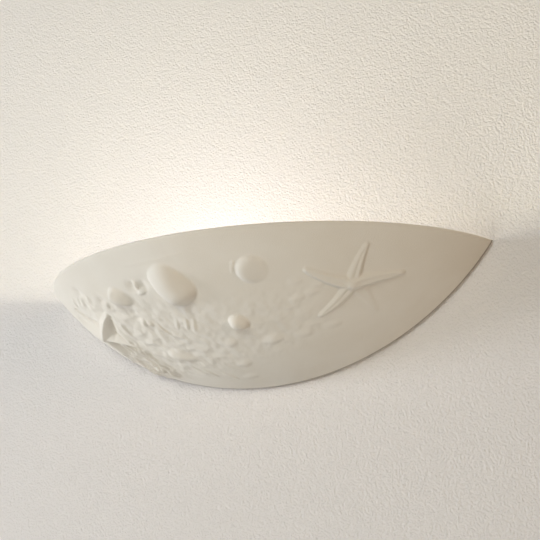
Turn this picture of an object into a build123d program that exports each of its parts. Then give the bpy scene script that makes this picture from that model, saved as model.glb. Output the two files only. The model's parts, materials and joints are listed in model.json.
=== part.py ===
from build123d import *
from math import acos, asin, cos, hypot, pi, radians, sin, sqrt
import os

# Ceramic half-bowl wall lamp on a steel wall bracket, in millimetres.
# X runs along the wall, Y into the wall and Z up. The wall is the plane Y = 0, and the
# origin lies on it, midway between the two wall-screw slots.

# Bowl
bowl_width = 400.0          # from tip to tip along the wall
bowl_depth = 157.0          # from the back edge to the front of the rim
bowl_height = 98.5          # from the rim to the lowest point of the back edge
bowl_wall = 5.5
bowl_gap = 2.0              # shadow gap between the back edge and the wall
rim_rise = 30.0             # rim above the wall screws
rim_land = 1.5              # height of the upright flat along the rim's outer edge
ear_thickness = 6.0
ear_below_rim = 12.0

# Starfish arms: radius and height above the bowl at the root and at the tip
star_root_r = 5.5
star_root_height = 3.8
star_tip_r = 2.6
star_tip_height = 1.8
star_hub = 0.6              # hub past the arms' roots

# Wall plate
sheet = 1.5
strip_height = 24.0
slot_width = 5.0
slot_length = 14.0
slot_margin = 3.0           # flat sheet past each slot's end
joggle_run = 8.0            # length of the slanted step along X
arm_step = 7.0              # rear of the arms in front of the wall
screw_inset = 38.0          # thumbscrew axis in from the bowl's inner wall
arm_before_screw = 27.0     # step's end before the thumbscrew axis
arm_past_screw = 18.0
arm_corner_r = 8.0
panel_half = 62.0
panel_room = 11.0           # panel's lower corners above the bowl's inner face
panel_corner_r = 6.0

# Thumbscrews, pads and washers
thumb_r = 2.45
thumb_past_nut = 1.0
thumb_collar_r = 5.0
thumb_collar_length = 2.0
thumb_head_r = 7.0
thumb_head_length = 8.0
thumb_teeth = 36
thumb_tooth_depth = 0.4
thumb_slot_width = 1.2
thumb_slot_depth = 1.6
ear_hole_clearance = 0.75
hole_clearance = 0.3
thread_fit = 0.05           # radial room between a male and a female thread
pad_r = 9.0
pad_thickness = 1.0
washer_r = 7.0
washer_thickness = 1.5
weld_nut_flats = 8.0
weld_nut_height = 3.5

# Cable bush
bush_above_edge = 14.0      # bush axis above the panel's lower edge
bush_bore_r = 4.5
bush_wall = 2.5
bush_flange = 2.5           # flange past the sleeve, and its thickness
bush_fit = 0.05
bush_round = 0.8

# Lampholder and its bracket
lamp_out = 44.0             # lamp axis in front of the wall
globe_room = 11.5           # least room between the bulb's globe and the bowl
holder_base_x = 60.0        # base of the holder, right of the middle
holder_r = 14.0
holder_length = 36.0
socket_r = 8.0
socket_depth = 26.0
mouth_round = 1.5
bracket_half = 16.0
foot_length = 30.0
foot_stud_offset = 8.5
holder_screw_r = 1.25
holder_screw_offset = 4.5
holder_screw_head_r = 2.25
holder_screw_head = 1.6
terminal_offset = 6.0       # wire entries above and below the lamp axis
terminal_from_base = 5.0
terminal_depth = 8.0
terminal_screw_r = 1.5
small_slot_width = 0.6
small_slot_depth = 0.6

# Small Edison screw thread and the bulb
thread_pitch = 2.822
thread_turns = 5
thread_crest_r = 6.95
thread_depth = 0.6
thread_start = 3.0          # first thread inside the holder's mouth
thread_room = 0.15          # radial room between cap and shell
shell_sheet = 0.45
contact_height = 2.7
contact_gap = 0.3
contact_width = 3.4
contact_sheet = 0.5
bulb_length = 79.0
globe_r = 22.5
neck_r = 8.0
neck_blend_r = 15.0
glass = 0.9
glass_room = 0.05           # radial room between neck and cap
cap_bore_r = 5.4
cap_flare = 0.8
cap_flare_length = 2.5
flare_before_mouth = 0.5    # cap's flare starts outside the holder's mouth
bulb_tip_r = 2.4
bulb_tip_height = 1.5
insulator_r = 5.0
insulator_height = 2.5
stem_length = 16.0
stem_tip_r = 1.6
filament_r = 0.9
filament_length = 26.0
filament_ring = 3.0         # filaments from the lamp axis
filament_count = 4
support_sheet = 0.8

# Terminal block
pole_pitch = 10.0
pole_count = 3
block_height = 14.0
block_width = 18.0
block_corner_r = 2.2
block_x = -43.0
block_above_edge = 19.0     # middle of the block above the panel's lower edge
clamp_r = 2.4
clamp_bore_r = 1.6
clamp_length = 15.0
clamp_rise = 4.5            # clamp axis in front of the plate
clamp_screw_offset = 4.5
clamp_screw_r = 1.5
clamp_screw_length = 5.0
block_stud_r = 1.5

# Studs, nuts and earth
stud_r = 2.0
stud_past_nut = 1.5
nut_flats = 7.0
nut_height = 3.2
small_nut_flats = 5.5
small_nut_height = 2.4
flat_washer_r = 4.5
flat_washer = 0.8
earth_x = 4.0
earth_below_wire = 8.0      # earth stud below the neutral wire's long run
earth_teeth = 12
earth_tooth_r = 0.4
lug_r = 4.0
lug_sheet = 0.8
lug_barrel_r = 1.9
lug_barrel_length = 6.0
lug_tongue_half = 1.7

# Inner wires
wire_r = 1.1
wire_room = 0.1
wire_over_nut = 2.1         # room between the bracket's upper nut and the neutral wire's long run
wire_apart = 5.0            # live wire's long run above the neutral wire's
wire_knee = 19.0            # bend before the lampholder, in front of the wall
wire_bend_r = 8.0
wire_knee_r = 6.0
earth_bend_r = 12.0

# Sphere of the bowl, through both tips, the front of the rim and the lowest back point
half_width = bowl_width / 2
rim_r = (half_width**2 + bowl_depth**2) / (2 * bowl_depth)
centre_back = rim_r - bowl_depth
drop_under_land = bowl_height - rim_land
centre_rise = (half_width**2 - drop_under_land**2) / (2 * drop_under_land)
outer_r = hypot(rim_r, centre_rise)
inner_r = outer_r - bowl_wall
back_y = -bowl_gap
centre = Vector(0, centre_back + back_y, rim_rise - rim_land + centre_rise)

# Planes and places that pieces share
arm_back_y = -arm_step
arm_front_y = arm_back_y - sheet
ear_back_y = arm_front_y - pad_thickness
ear_front_y = ear_back_y - ear_thickness
washer_front_y = ear_front_y - washer_thickness
inner_half = sqrt(inner_r**2 - (ear_front_y - centre.Y)**2 - centre.Z**2)
screw_x = round(inner_half - screw_inset)
arm_end_x = screw_x + arm_past_screw
arm_start_x = screw_x - arm_before_screw
flat_half = arm_start_x - joggle_run
slot_x = flat_half - slot_margin - slot_length / 2
ear_top = rim_rise - ear_below_rim
inner_bottom = centre.Z - sqrt(inner_r**2 - panel_half**2 - centre.Y**2)
panel_bottom = round(inner_bottom + panel_room)
bush_z = panel_bottom + bush_above_edge
block_z = panel_bottom + block_above_edge
foot_stud_x = holder_base_x - foot_length / 2
foot_front_y = -2 * sheet
clamp_y = -sheet - clamp_rise
block_top_y = -sheet - block_height
block_half = block_width / 2
mouth_x = holder_base_x - holder_length
bulb_tip_t = socket_depth - contact_height - contact_gap
globe_t = bulb_tip_t - bulb_length + globe_r
globe_reach = inner_r - globe_room - globe_r
globe_offset = hypot(mouth_x + globe_t, lamp_out + centre.Y)
lamp_z = centre.Z - sqrt(globe_reach**2 - globe_offset**2)
lamp_place = Pos(mouth_x, -lamp_out, lamp_z)
upper_nut_top = lamp_z + foot_stud_offset + nut_flats / sqrt(3)
neutral_level = upper_nut_top + wire_over_nut + wire_r
live_level = neutral_level + wire_apart
earth_z = neutral_level - earth_below_wire
thread_end = thread_start + thread_turns * thread_pitch
flare_start = -flare_before_mouth
flare_end = flare_start - cap_flare_length
stem_end = flare_end - stem_length
terminal_x = holder_base_x - terminal_from_base
sides = (-1, 1)


def cylinder_y(radius, y_back, y_front, x=0.0, z=0.0):
    """Round bar along Y between two planes."""
    bar = Rot(90, 0, 0) * Cylinder(radius, abs(y_back - y_front))
    return Pos(x, (y_back + y_front) / 2, z) * bar


def ring_y(radius, hole_r, y_back, y_front, x=0.0, z=0.0):
    """Flat ring whose axis is along Y."""
    return cylinder_y(radius, y_back, y_front, x, z) - cylinder_y(hole_r, y_back, y_front, x, z)


def cylinder_x(radius, x_low, x_high, y=0.0, z=0.0):
    """Round bar along X between two planes."""
    bar = Rot(0, 90, 0) * Cylinder(radius, x_high - x_low)
    return Pos((x_low + x_high) / 2, y, z) * bar


def cylinder_z(radius, z_low, z_high, x=0.0, y=0.0):
    """Round bar along Z between two planes."""
    return Pos(x, y, (z_low + z_high) / 2) * Cylinder(radius, z_high - z_low)


def block(x_low, x_high, y_low, y_high, z_low, z_high):
    """Box between three pairs of planes."""
    middle = Pos((x_low + x_high) / 2, (y_low + y_high) / 2, (z_low + z_high) / 2)
    return middle * Box(x_high - x_low, y_high - y_low, z_high - z_low)


def hex_nut(flats, hole_r, y_back, y_front, x, z):
    """Six-sided nut on an axis along Y."""
    height = y_back - y_front
    prism = extrude(RegularPolygon(flats / sqrt(3), 6), height)
    body = Pos(x, y_back, z) * Rot(90, 0, 0) * prism
    return body - cylinder_y(hole_r, y_back, y_front, x, z)


def turned(points):
    """Solid turned about the X axis from (along, radius) points joined by straight lines."""
    outline = make_face(Polyline(*points, close=True))
    return revolve(outline, Axis.X, 360)


def bowl_spot(along, down):
    """Unit normal and two surface directions at a place on the bowl's outer face.

    along is -1 at the left tip and 1 at the right tip, and down is 0 at the rim and 1 at
    the back edge. The second direction points to +X and the third towards the rim.
    """
    x = along * half_width
    section_r = sqrt(outer_r**2 - x**2)
    rim_angle = asin((centre.Z - rim_rise) / section_r)
    back_angle = acos((centre.Y - back_y) / section_r)
    angle = rim_angle + down * (back_angle - rim_angle)
    normal = Vector(x, -section_r * cos(angle), -section_r * sin(angle)).normalized()
    upward = (Vector(0, 0, 1) - normal * normal.Z).normalized()
    return normal, upward.cross(normal), upward


def bowl_point(spot, right, up, sunk):
    """Point a surface distance from a spot, sunk under the outer face."""
    normal, rightward, upward = spot
    run = hypot(right, up)
    if run == 0:
        return centre + normal * (outer_r - sunk)
    direction = (rightward * right + upward * up).normalized()
    angle = run / outer_r
    return centre + (normal * cos(angle) + direction * sin(angle)) * (outer_r - sunk)


def along_line(start, end, outline):
    """Solid turned about the line from start to end, from edges drawn along +X from start."""
    solid = revolve(make_face(Wire(outline)), Axis.X, 360)
    side = Vector(0, 0, 1).cross(end - start)
    return Plane(origin=start, x_dir=end - start, z_dir=side).location * solid


def capsule(start, end, radius):
    """Convex hull of two equal balls."""
    run = (end - start).length
    diagonal = radius * sqrt(0.5)
    outline = [
        ThreePointArc((-radius, 0), (-diagonal, diagonal), (0, radius)),
        Line((0, radius), (run, radius)),
        ThreePointArc((run, radius), (run + diagonal, diagonal), (run + radius, 0)),
        Line((run + radius, 0), (-radius, 0)),
    ]
    return along_line(start, end, outline)


def dome(along, down, base_r, height, stretch=None):
    """Raised shell or pebble: a ball sunk in the bowl, drawn out both ways along stretch."""
    ball_r = (base_r**2 + height**2) / (2 * height)
    sunk = ball_r - height
    spot = bowl_spot(along, down)
    if stretch is None:
        return Pos(bowl_point(spot, 0, 0, sunk)) * Sphere(ball_r)
    right, up = stretch
    start = bowl_point(spot, -right, -up, sunk)
    return capsule(start, bowl_point(spot, right, up, sunk), ball_r)


def tapered_arm(start, start_r, end, end_r):
    """Cone with a flat start and a round tip."""
    run = (end - start).length
    lean = (start_r - end_r) / run
    last = (run + end_r * lean, end_r * sqrt(1 - lean**2))
    end_mid = (run + end_r * cos(acos(lean) / 2), end_r * sin(acos(lean) / 2))
    outline = [
        Line((0, 0), (0, start_r)),
        Line((0, start_r), last),
        ThreePointArc(last, end_mid, (run + end_r, 0)),
        Line((run + end_r, 0), (0, 0)),
    ]
    return along_line(start, end, outline)


def starfish(along, down, arms):
    """Ball in the middle and five tapered arms, each given by its angle from +X and its length."""
    spot = bowl_spot(along, down)
    root = bowl_point(spot, 0, 0, star_root_r - star_root_height)
    solids = [Pos(root) * Sphere(star_root_r + star_hub)]
    for angle, length in arms:
        right = length * cos(radians(angle))
        up = length * sin(radians(angle))
        tip = bowl_point(spot, right, up, star_tip_r - star_tip_height)
        solids.append(tapered_arm(root, star_root_r, tip, star_tip_r))
    return solids


def relief():
    """Shells, pebbles and starfish that stand out of the bowl's outer face."""
    solids = [
        dome(along=-0.09, down=0.225, base_r=16.0, height=9.0, stretch=(-4.0, 5.0)),
        dome(along=-0.375, down=0.25, base_r=10.5, height=6.0, stretch=(-2.0, 2.0)),
        dome(along=0.237, down=0.215, base_r=13.0, height=3.5),
        dome(along=0.10, down=0.465, base_r=8.5, height=5.0),
        dome(along=-0.23, down=0.645, base_r=12.0, height=4.5, stretch=(-3.0, 3.0)),
    ]
    right_arms = ((11, 42), (78, 35), (166, 37), (243, 38), (315, 40))
    left_arms = ((26, 37), (100, 35), (158, 31), (240, 34), (312, 36))
    solids += starfish(along=0.54, down=0.39, arms=right_arms)
    solids += starfish(along=-0.565, down=0.54, arms=left_arms)
    return solids


def ceramic_bowl():
    """Piece of a spherical shell with its relief, and two ears behind the back edge."""
    outside = Pos(centre) * Sphere(outer_r)
    for solid in relief():
        outside += solid
    rim_cylinder = cylinder_z(rim_r, rim_rise - 2 * bowl_height, rim_rise, centre.X, centre.Y)
    front_y = back_y - 2 * bowl_depth
    keep = block(-bowl_width, bowl_width, front_y, back_y, rim_rise - 2 * bowl_height, rim_rise)
    outside = outside & keep
    above_land = block(-bowl_width, bowl_width, front_y, back_y, rim_rise - rim_land, rim_rise)
    outside -= above_land - rim_cylinder
    hollow = Pos(centre) * Sphere(inner_r)
    ears = None
    for side in sides:
        x_low, x_high = sorted((side * arm_start_x, side * bowl_width))
        slab = block(x_low, x_high, ear_front_y, ear_back_y, rim_rise - 2 * bowl_height, ear_top)
        hole_r = thumb_r + ear_hole_clearance
        slab -= cylinder_y(hole_r, ear_back_y, ear_front_y, side * screw_x)
        ears = slab if ears is None else ears + slab
    return outside - (hollow - ears)


def bent_strip():
    """Joggled strip seen from above: flat on the wall in the middle, stepped at both ends."""
    run = [(flat_half, 0), (arm_start_x, arm_back_y), (arm_end_x, arm_back_y)]
    slope = sheet * (hypot(joggle_run, arm_step) - joggle_run) / arm_step
    front = [
        (arm_end_x, arm_front_y),
        (arm_start_x - slope, arm_front_y),
        (flat_half - slope, -sheet),
    ]
    right = run + front
    left = [(-x, y) for x, y in reversed(right)]
    outline = make_face(Polyline(*right, *left, close=True))
    strip = Pos(0, 0, -strip_height / 2) * extrude(outline, strip_height)
    ends = [e for e in strip.edges().filter_by(Axis.Y) if abs(e.center().X) > arm_end_x - sheet]
    return fillet(ends, arm_corner_r)


def wall_plate():
    """Strip and panel in one sheet, with wall-screw slots, cable hole and thumbscrew holes."""
    panel = block(-panel_half, panel_half, -sheet, 0, panel_bottom, 0)
    lower = [e for e in panel.edges().filter_by(Axis.Y) if e.center().Z < panel_bottom / 2]
    plate = bent_strip() + fillet(lower, panel_corner_r)
    slot = extrude(SlotOverall(slot_length, slot_width), 2 * sheet, both=True)
    for side in sides:
        plate -= Pos(side * slot_x, 0, 0) * Rot(90, 0, 0) * slot
        plate -= cylinder_y(thumb_r + hole_clearance, arm_back_y, arm_front_y, side * screw_x)
    return plate - cylinder_y(bush_bore_r + bush_wall, 0, -sheet, 0, bush_z)


def foot_stud_places():
    """The two studs under the lampholder bracket's foot, as (x, z)."""
    return [(foot_stud_x, lamp_z + side * foot_stud_offset) for side in sides]


def block_stud_places():
    """The two studs between the terminal block's poles, as (x, z)."""
    return [(block_x + side * pole_pitch / 2, block_z) for side in sides]


def weld_studs():
    """Studs on the front of the plate for the bracket, the terminal block and the earth."""
    foot_end = foot_front_y - flat_washer - nut_height - stud_past_nut
    block_end = block_top_y - small_nut_height - stud_past_nut
    earth_end = -sheet - flat_washer - lug_sheet - nut_height - stud_past_nut
    studs = [cylinder_y(stud_r, -sheet, foot_end, x, z) for x, z in foot_stud_places()]
    studs += [cylinder_y(block_stud_r, -sheet, block_end, x, z) for x, z in block_stud_places()]
    studs.append(cylinder_y(stud_r, -sheet, earth_end, earth_x, earth_z))
    return studs


def weld_nuts():
    """Nuts behind the arms that take the thumbscrews."""
    front = arm_back_y
    back = front + weld_nut_height
    hole_r = thumb_r + thread_fit
    return [hex_nut(weld_nut_flats, hole_r, back, front, side * screw_x, 0) for side in sides]


def rear_pads():
    """Fibre pads on the front of the arms, behind the bowl's ears."""
    hole_r = thumb_r + hole_clearance
    return [ring_y(pad_r, hole_r, arm_front_y, ear_back_y, side * screw_x) for side in sides]


def cable_bush():
    """Rubber sleeve in the cable hole, flush behind and flanged in front."""
    sleeve_r = bush_bore_r + bush_wall - bush_fit
    sleeve = cylinder_y(sleeve_r, 0, -sheet, 0, bush_z)
    front = -sheet - bush_flange
    flange = cylinder_y(sleeve_r + bush_flange, -sheet, front, 0, bush_z)
    flange = fillet(flange.faces().sort_by(Axis.Y)[0].edges(), bush_round)
    return sleeve + flange - cylinder_y(bush_bore_r, 0, front, 0, bush_z)


def holder_bracket():
    """L-shaped sheet: foot on the wall plate, round-ended flange across the lamp axis."""
    z_low = lamp_z - bracket_half
    z_high = lamp_z + bracket_half
    foot_x = holder_base_x - foot_length
    flange_x = holder_base_x + sheet
    foot = block(foot_x, flange_x, foot_front_y, -sheet, z_low, z_high)
    flange = block(holder_base_x, flange_x, -lamp_out, -sheet, z_low, z_high)
    flange += cylinder_x(bracket_half, holder_base_x, flange_x, -lamp_out, lamp_z)
    bracket = foot + flange
    bend = [
        e for e in bracket.edges().filter_by(Axis.Z)
        if abs(e.center().X - flange_x) < sheet / 4 and abs(e.center().Y + sheet) < sheet / 4
    ]
    bracket = fillet(bend, sheet)
    for x, z in foot_stud_places():
        bracket -= cylinder_y(stud_r + hole_clearance, -sheet, foot_front_y, x, z)
    for y in holder_screw_levels():
        hole_r = holder_screw_r + thread_fit
        bracket -= cylinder_x(hole_r, holder_base_x, flange_x, y, lamp_z)
    return bracket


def holder_screw_levels():
    """Y of the two screws that hold the lampholder to its bracket."""
    return [-lamp_out + side * holder_screw_offset for side in sides]


def bracket_washers():
    """Flat washers on the bracket's foot."""
    front = foot_front_y - flat_washer
    hole_r = stud_r + hole_clearance
    places = foot_stud_places()
    return [ring_y(flat_washer_r, hole_r, foot_front_y, front, x, z) for x, z in places]


def bracket_nuts():
    """Nuts on the bracket's foot."""
    back = foot_front_y - flat_washer
    front = back - nut_height
    places = foot_stud_places()
    return [hex_nut(nut_flats, stud_r + thread_fit, back, front, x, z) for x, z in places]


def lampholder_body():
    """Steatite cup with two wire entries towards the wall and two clamp-screw wells."""
    body = cylinder_x(holder_r, mouth_x, holder_base_x, -lamp_out, lamp_z)
    body = fillet(body.edges(), mouth_round)
    floor_x = mouth_x + socket_depth
    body -= cylinder_x(socket_r, mouth_x, floor_x, -lamp_out, lamp_z)
    for y in holder_screw_levels():
        hole_r = holder_screw_r + hole_clearance
        body -= cylinder_x(hole_r, floor_x, holder_base_x, y, lamp_z)
    for side in sides:
        z = lamp_z + side * terminal_offset
        body -= cylinder_y(wire_r + wire_room, -lamp_out + holder_r, terminal_end_y(), terminal_x, z)
        z_low, z_high = sorted((z, lamp_z + side * holder_r))
        well_r = terminal_screw_r + thread_fit
        body -= cylinder_z(well_r, z_low, z_high, terminal_x, terminal_screw_y())
    return body


def terminal_end_y():
    """Depth at which a wire ends in the lampholder."""
    return -lamp_out + holder_r - terminal_depth


def terminal_screw_y():
    """Y of the screws that clamp the wires, near the wires' ends."""
    return terminal_end_y() + 2 * terminal_screw_r


def holder_terminal_screws():
    """Slotted screws that press on the wires, from above and from below."""
    screws = []
    for side in sides:
        wire_z = lamp_z + side * (terminal_offset + wire_r + wire_room)
        out_z = lamp_z + side * (terminal_offset + wire_r + wire_room + 3 * terminal_screw_r)
        z_low, z_high = sorted((wire_z, out_z))
        screw = cylinder_z(terminal_screw_r, z_low, z_high, terminal_x, terminal_screw_y())
        slot = Box(small_slot_width, 2 * terminal_screw_r, 2 * small_slot_depth)
        screws.append(screw - Pos(terminal_x, terminal_screw_y(), out_z) * slot)
    return screws


def thread_side(extra_r):
    """Round thread as half-circle rings from thread_start to thread_end, in (along, radius)."""
    middle_r = thread_crest_r - thread_depth / 2 + extra_r
    half = thread_pitch / 2
    arcs = []
    for step in range(2 * thread_turns):
        start = thread_start + step * half
        swing = thread_depth / 2 if step % 2 == 0 else -thread_depth / 2
        arcs.append(
            ThreePointArc(
                (start, middle_r), (start + half / 2, middle_r + swing), (start + half, middle_r)
            )
        )
    return arcs, middle_r


def lampholder_shell():
    """Brass sleeve with a round thread inside and out, standing on the socket's floor."""
    inner, inner_mid = thread_side(thread_room)
    outer, outer_mid = thread_side(thread_room + shell_sheet)
    outline = inner + outer
    outline.append(Line((thread_start, inner_mid), (thread_start, outer_mid)))
    outline.append(Line((thread_end, inner_mid), (socket_depth, inner_mid)))
    outline.append(Line((socket_depth, inner_mid), (socket_depth, outer_mid)))
    outline.append(Line((socket_depth, outer_mid), (thread_end, outer_mid)))
    face = make_face(Wire(outline))
    return lamp_place * revolve(face, Axis.X, 360)


def centre_contact():
    """Spring strip on the socket's floor, folded up to meet the bulb's tip."""
    half = contact_width / 2
    reach = thread_crest_r - 2 * thread_depth
    floor = socket_depth
    top = floor - contact_height
    strip = block(floor - contact_sheet, floor, -half, half, -reach, reach / 2)
    riser = block(top, floor, -half, half, reach / 2 - contact_sheet, reach / 2)
    tongue = block(top, top + contact_sheet, -half, half, -bulb_tip_r, reach / 2)
    return lamp_place * (strip + riser + tongue)


def side_contact():
    """Brass strip inside the shell's plain end, standing on the socket's floor."""
    inner_mid = thread_crest_r - thread_depth / 2 + thread_room
    ring = cylinder_x(inner_mid - wire_room, thread_end, socket_depth)
    ring -= cylinder_x(inner_mid - wire_room - contact_sheet, thread_end, socket_depth)
    half = contact_width / 2
    wedge = block(thread_end, socket_depth, -half, half, -socket_r, -inner_mid / 2)
    top = socket_depth - contact_height / 2
    return lamp_place * (ring & wedge & block(top, socket_depth, -half, half, -socket_r, 0))


def holder_screws():
    """Screws from the socket's floor through the base into the bracket."""
    floor_x = mouth_x + socket_depth
    screws = []
    for y in holder_screw_levels():
        shank = cylinder_x(holder_screw_r, floor_x, holder_base_x + sheet, y, lamp_z)
        head = cylinder_x(holder_screw_head_r, floor_x - holder_screw_head, floor_x, y, lamp_z)
        slot = Box(2 * small_slot_depth, small_slot_width, 2 * holder_screw_head_r)
        screws.append(shank + head - Pos(floor_x - holder_screw_head, y, lamp_z) * slot)
    return screws


def globe_side(wall):
    """Globe, blend and neck of the bulb, drawn in by a wall, as edges from pole to neck end."""
    ball = globe_r - wall
    blend = neck_blend_r + wall
    neck = neck_r - wall
    blend_t = globe_t + sqrt((ball + blend)**2 - (neck + blend)**2)
    touch = ball / (ball + blend)
    meet = (globe_t + (blend_t - globe_t) * touch, (neck + blend) * touch)
    lean = acos((meet[0] - globe_t) / ball)
    ball_mid_angle = (pi + lean) / 2
    ball_mid = (globe_t + ball * cos(ball_mid_angle), ball * sin(ball_mid_angle))
    blend_mid_angle = (lean + pi / 2) / 2
    blend_mid = (blend_t - blend * cos(blend_mid_angle), neck + blend - blend * sin(blend_mid_angle))
    neck_end = flare_end + cap_flare
    edges = [
        ThreePointArc((globe_t - ball, 0), ball_mid, meet),
        ThreePointArc(meet, blend_mid, (blend_t, neck)),
        Line((blend_t, neck), (neck_end, neck)),
    ]
    return edges, (globe_t - ball, 0), (neck_end, neck)


def bulb_globe():
    """Blown glass globe with a neck that ends in the cap's flare."""
    outer, outer_pole, outer_end = globe_side(0)
    inner, inner_pole, inner_end = globe_side(glass)
    outline = outer + inner + [Line(outer_pole, inner_pole), Line(outer_end, inner_end)]
    return lamp_place * revolve(make_face(Wire(outline)), Axis.X, 360)


def bulb_cap():
    """Threaded metal cap with a flare that holds the glass neck."""
    thread, mid_r = thread_side(0)
    cap_end = bulb_tip_t - bulb_tip_height - insulator_height
    flare_r = neck_r + cap_flare
    seat_t = flare_end + cap_flare
    seat_r = neck_r + glass_room
    outer = [
        Line((thread_end, mid_r), (cap_end, insulator_r)),
        Line((cap_end, insulator_r), (cap_end, 0)),
        Line((cap_end, 0), (thread_end, 0)),
        Line((thread_end, 0), (thread_end, cap_bore_r)),
        Line((thread_end, cap_bore_r), (seat_t, cap_bore_r)),
        Line((seat_t, cap_bore_r), (seat_t, seat_r)),
        Line((seat_t, seat_r), (flare_end, seat_r)),
        Line((flare_end, seat_r), (flare_end, flare_r)),
        Line((flare_end, flare_r), (seat_t, flare_r)),
        Line((seat_t, flare_r), (flare_start, mid_r)),
        Line((flare_start, mid_r), (thread_start, mid_r)),
    ]
    return lamp_place * revolve(make_face(Wire(thread + outer)), Axis.X, 360)


def bulb_insulator():
    """Black glass cone between the cap and its tip contact."""
    tip_back = bulb_tip_t - bulb_tip_height
    base = tip_back - insulator_height
    points = [(base, 0), (base, insulator_r), (tip_back, bulb_tip_r), (tip_back, 0)]
    return lamp_place * turned(points)


def bulb_contact():
    """Round tip contact."""
    base = bulb_tip_t - bulb_tip_height
    button = fillet(
        cylinder_x(bulb_tip_r, base, bulb_tip_t).edges().sort_by(Axis.X)[-1:], bulb_tip_height / 2
    )
    return lamp_place * button


def glass_stem():
    """Glass stem that stands on the cap's seat and carries the filaments."""
    foot = flare_end + cap_flare
    foot_r = neck_r - glass - wire_room
    knee = foot - stem_length / 4
    points = [(foot, 0), (foot, foot_r), (knee, 2 * stem_tip_r), (stem_end, stem_tip_r), (stem_end, 0)]
    return lamp_place * turned(points)


def filament_supports():
    """Disc on the stem's tip, a wire through the middle and a disc at the far end."""
    disc_r = filament_ring + filament_r
    near = cylinder_x(disc_r, stem_end - support_sheet, stem_end)
    far_end = stem_end - support_sheet - filament_length
    far = cylinder_x(disc_r, far_end - support_sheet, far_end)
    wire = cylinder_x(filament_r / 2, far_end, stem_end - support_sheet)
    return lamp_place * (near + wire + far)


def filaments():
    """Straight light-emitting sticks between the two discs."""
    end = stem_end - support_sheet
    sticks = []
    for index in range(filament_count):
        angle = 2 * pi * (index + 0.5) / filament_count
        y = filament_ring * cos(angle)
        z = filament_ring * sin(angle)
        sticks.append(lamp_place * cylinder_x(filament_r, end - filament_length, end, y, z))
    return sticks


def pole_places():
    """X of the terminal block's poles, from left to right."""
    return [block_x + (index - (pole_count - 1) / 2) * pole_pitch for index in range(pole_count)]


def terminal_block():
    """Moulded block with a channel per pole, two screw wells each and two stud holes."""
    half_length = pole_count * pole_pitch / 2
    z_low = block_z - block_half
    z_high = block_z + block_half
    body = block(block_x - half_length, block_x + half_length, block_top_y, -sheet, z_low, z_high)
    body = fillet(body.edges().filter_by(Axis.Y), block_corner_r)
    for x in pole_places():
        half_clamp = clamp_length / 2
        channel = cylinder_z(clamp_r + thread_fit, block_z - half_clamp, block_z + half_clamp, x, clamp_y)
        mouth = cylinder_z(clamp_bore_r + wire_room, z_low, z_high, x, clamp_y)
        body -= channel + mouth
        for side in sides:
            z = block_z + side * clamp_screw_offset
            body -= cylinder_y(clamp_screw_r + hole_clearance, clamp_y, block_top_y, x, z)
    for x, z in block_stud_places():
        body -= cylinder_y(block_stud_r + hole_clearance, -sheet, block_top_y, x, z)
    return body


def terminal_clamps():
    """Brass tubes in the terminal block."""
    tubes = []
    for x in pole_places():
        z_low = block_z - clamp_length / 2
        z_high = block_z + clamp_length / 2
        tube = cylinder_z(clamp_r, z_low, z_high, x, clamp_y)
        tube -= cylinder_z(clamp_bore_r, z_low, z_high, x, clamp_y)
        for side in sides:
            z = block_z + side * clamp_screw_offset
            tube -= cylinder_y(clamp_screw_r + thread_fit, clamp_y, clamp_y - clamp_r, x, z)
        tubes.append(tube)
    return tubes


def terminal_screws():
    """Slotted screws in the terminal block's wells, down on the wires."""
    screws = []
    tip_y = clamp_y - wire_r - wire_room
    head_y = tip_y - clamp_screw_length
    slot = Box(2 * clamp_screw_r, 2 * small_slot_depth, small_slot_width)
    for x in pole_places():
        for side in sides:
            z = block_z + side * clamp_screw_offset
            screw = cylinder_y(clamp_screw_r, tip_y, head_y, x, z)
            screws.append(screw - Pos(x, head_y, z) * slot)
    return screws


def terminal_nuts():
    """Nuts that hold the terminal block on its studs."""
    front = block_top_y - small_nut_height
    hole_r = block_stud_r + thread_fit
    places = block_stud_places()
    return [hex_nut(small_nut_flats, hole_r, block_top_y, front, x, z) for x, z in places]


def earth_washer():
    """Toothed washer between the plate and the earth lug."""
    front = -sheet - flat_washer
    ring = ring_y(flat_washer_r, stud_r + hole_clearance, -sheet, front, earth_x, earth_z)
    for index in range(earth_teeth):
        angle = 2 * pi * index / earth_teeth
        x = earth_x + flat_washer_r * cos(angle)
        z = earth_z + flat_washer_r * sin(angle)
        ring -= cylinder_y(earth_tooth_r, -sheet, front, x, z)
    return ring


def lug_barrel_end():
    """X at which the earth wire leaves the lug's barrel."""
    return earth_x - lug_r - lug_barrel_length


def lug_axis_y():
    """Y of the lug barrel's axis."""
    return -sheet - flat_washer - lug_barrel_r


def earth_lug():
    """Ring tongue with a crimped barrel that points left."""
    back = -sheet - flat_washer
    front = back - lug_sheet
    ring = cylinder_y(lug_r, back, front, earth_x, earth_z)
    barrel_start = earth_x - lug_r
    tongue = block(
        barrel_start - lug_sheet,
        earth_x,
        front,
        back,
        earth_z - lug_tongue_half,
        earth_z + lug_tongue_half,
    )
    barrel = cylinder_x(lug_barrel_r, lug_barrel_end(), barrel_start, lug_axis_y(), earth_z)
    lug = ring + tongue + barrel
    lug -= cylinder_y(stud_r + hole_clearance, back, front, earth_x, earth_z)
    bore = cylinder_x(wire_r + wire_room, lug_barrel_end(), barrel_start, lug_axis_y(), earth_z)
    return lug - bore


def earth_nut():
    """Nut on the earth stud."""
    back = -sheet - flat_washer - lug_sheet
    return hex_nut(nut_flats, stud_r + thread_fit, back, back - nut_height, earth_x, earth_z)


def wire(points, radii):
    """Round wire along straight runs joined by tangent arcs."""
    path = FilletPolyline(*points, radius=radii)
    start = Plane(origin=path @ 0, z_dir=path % 0)
    print("wire length", round(path.length, 1), "bend radii", radii)
    return sweep(start * Circle(wire_r), path=path)


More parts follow.
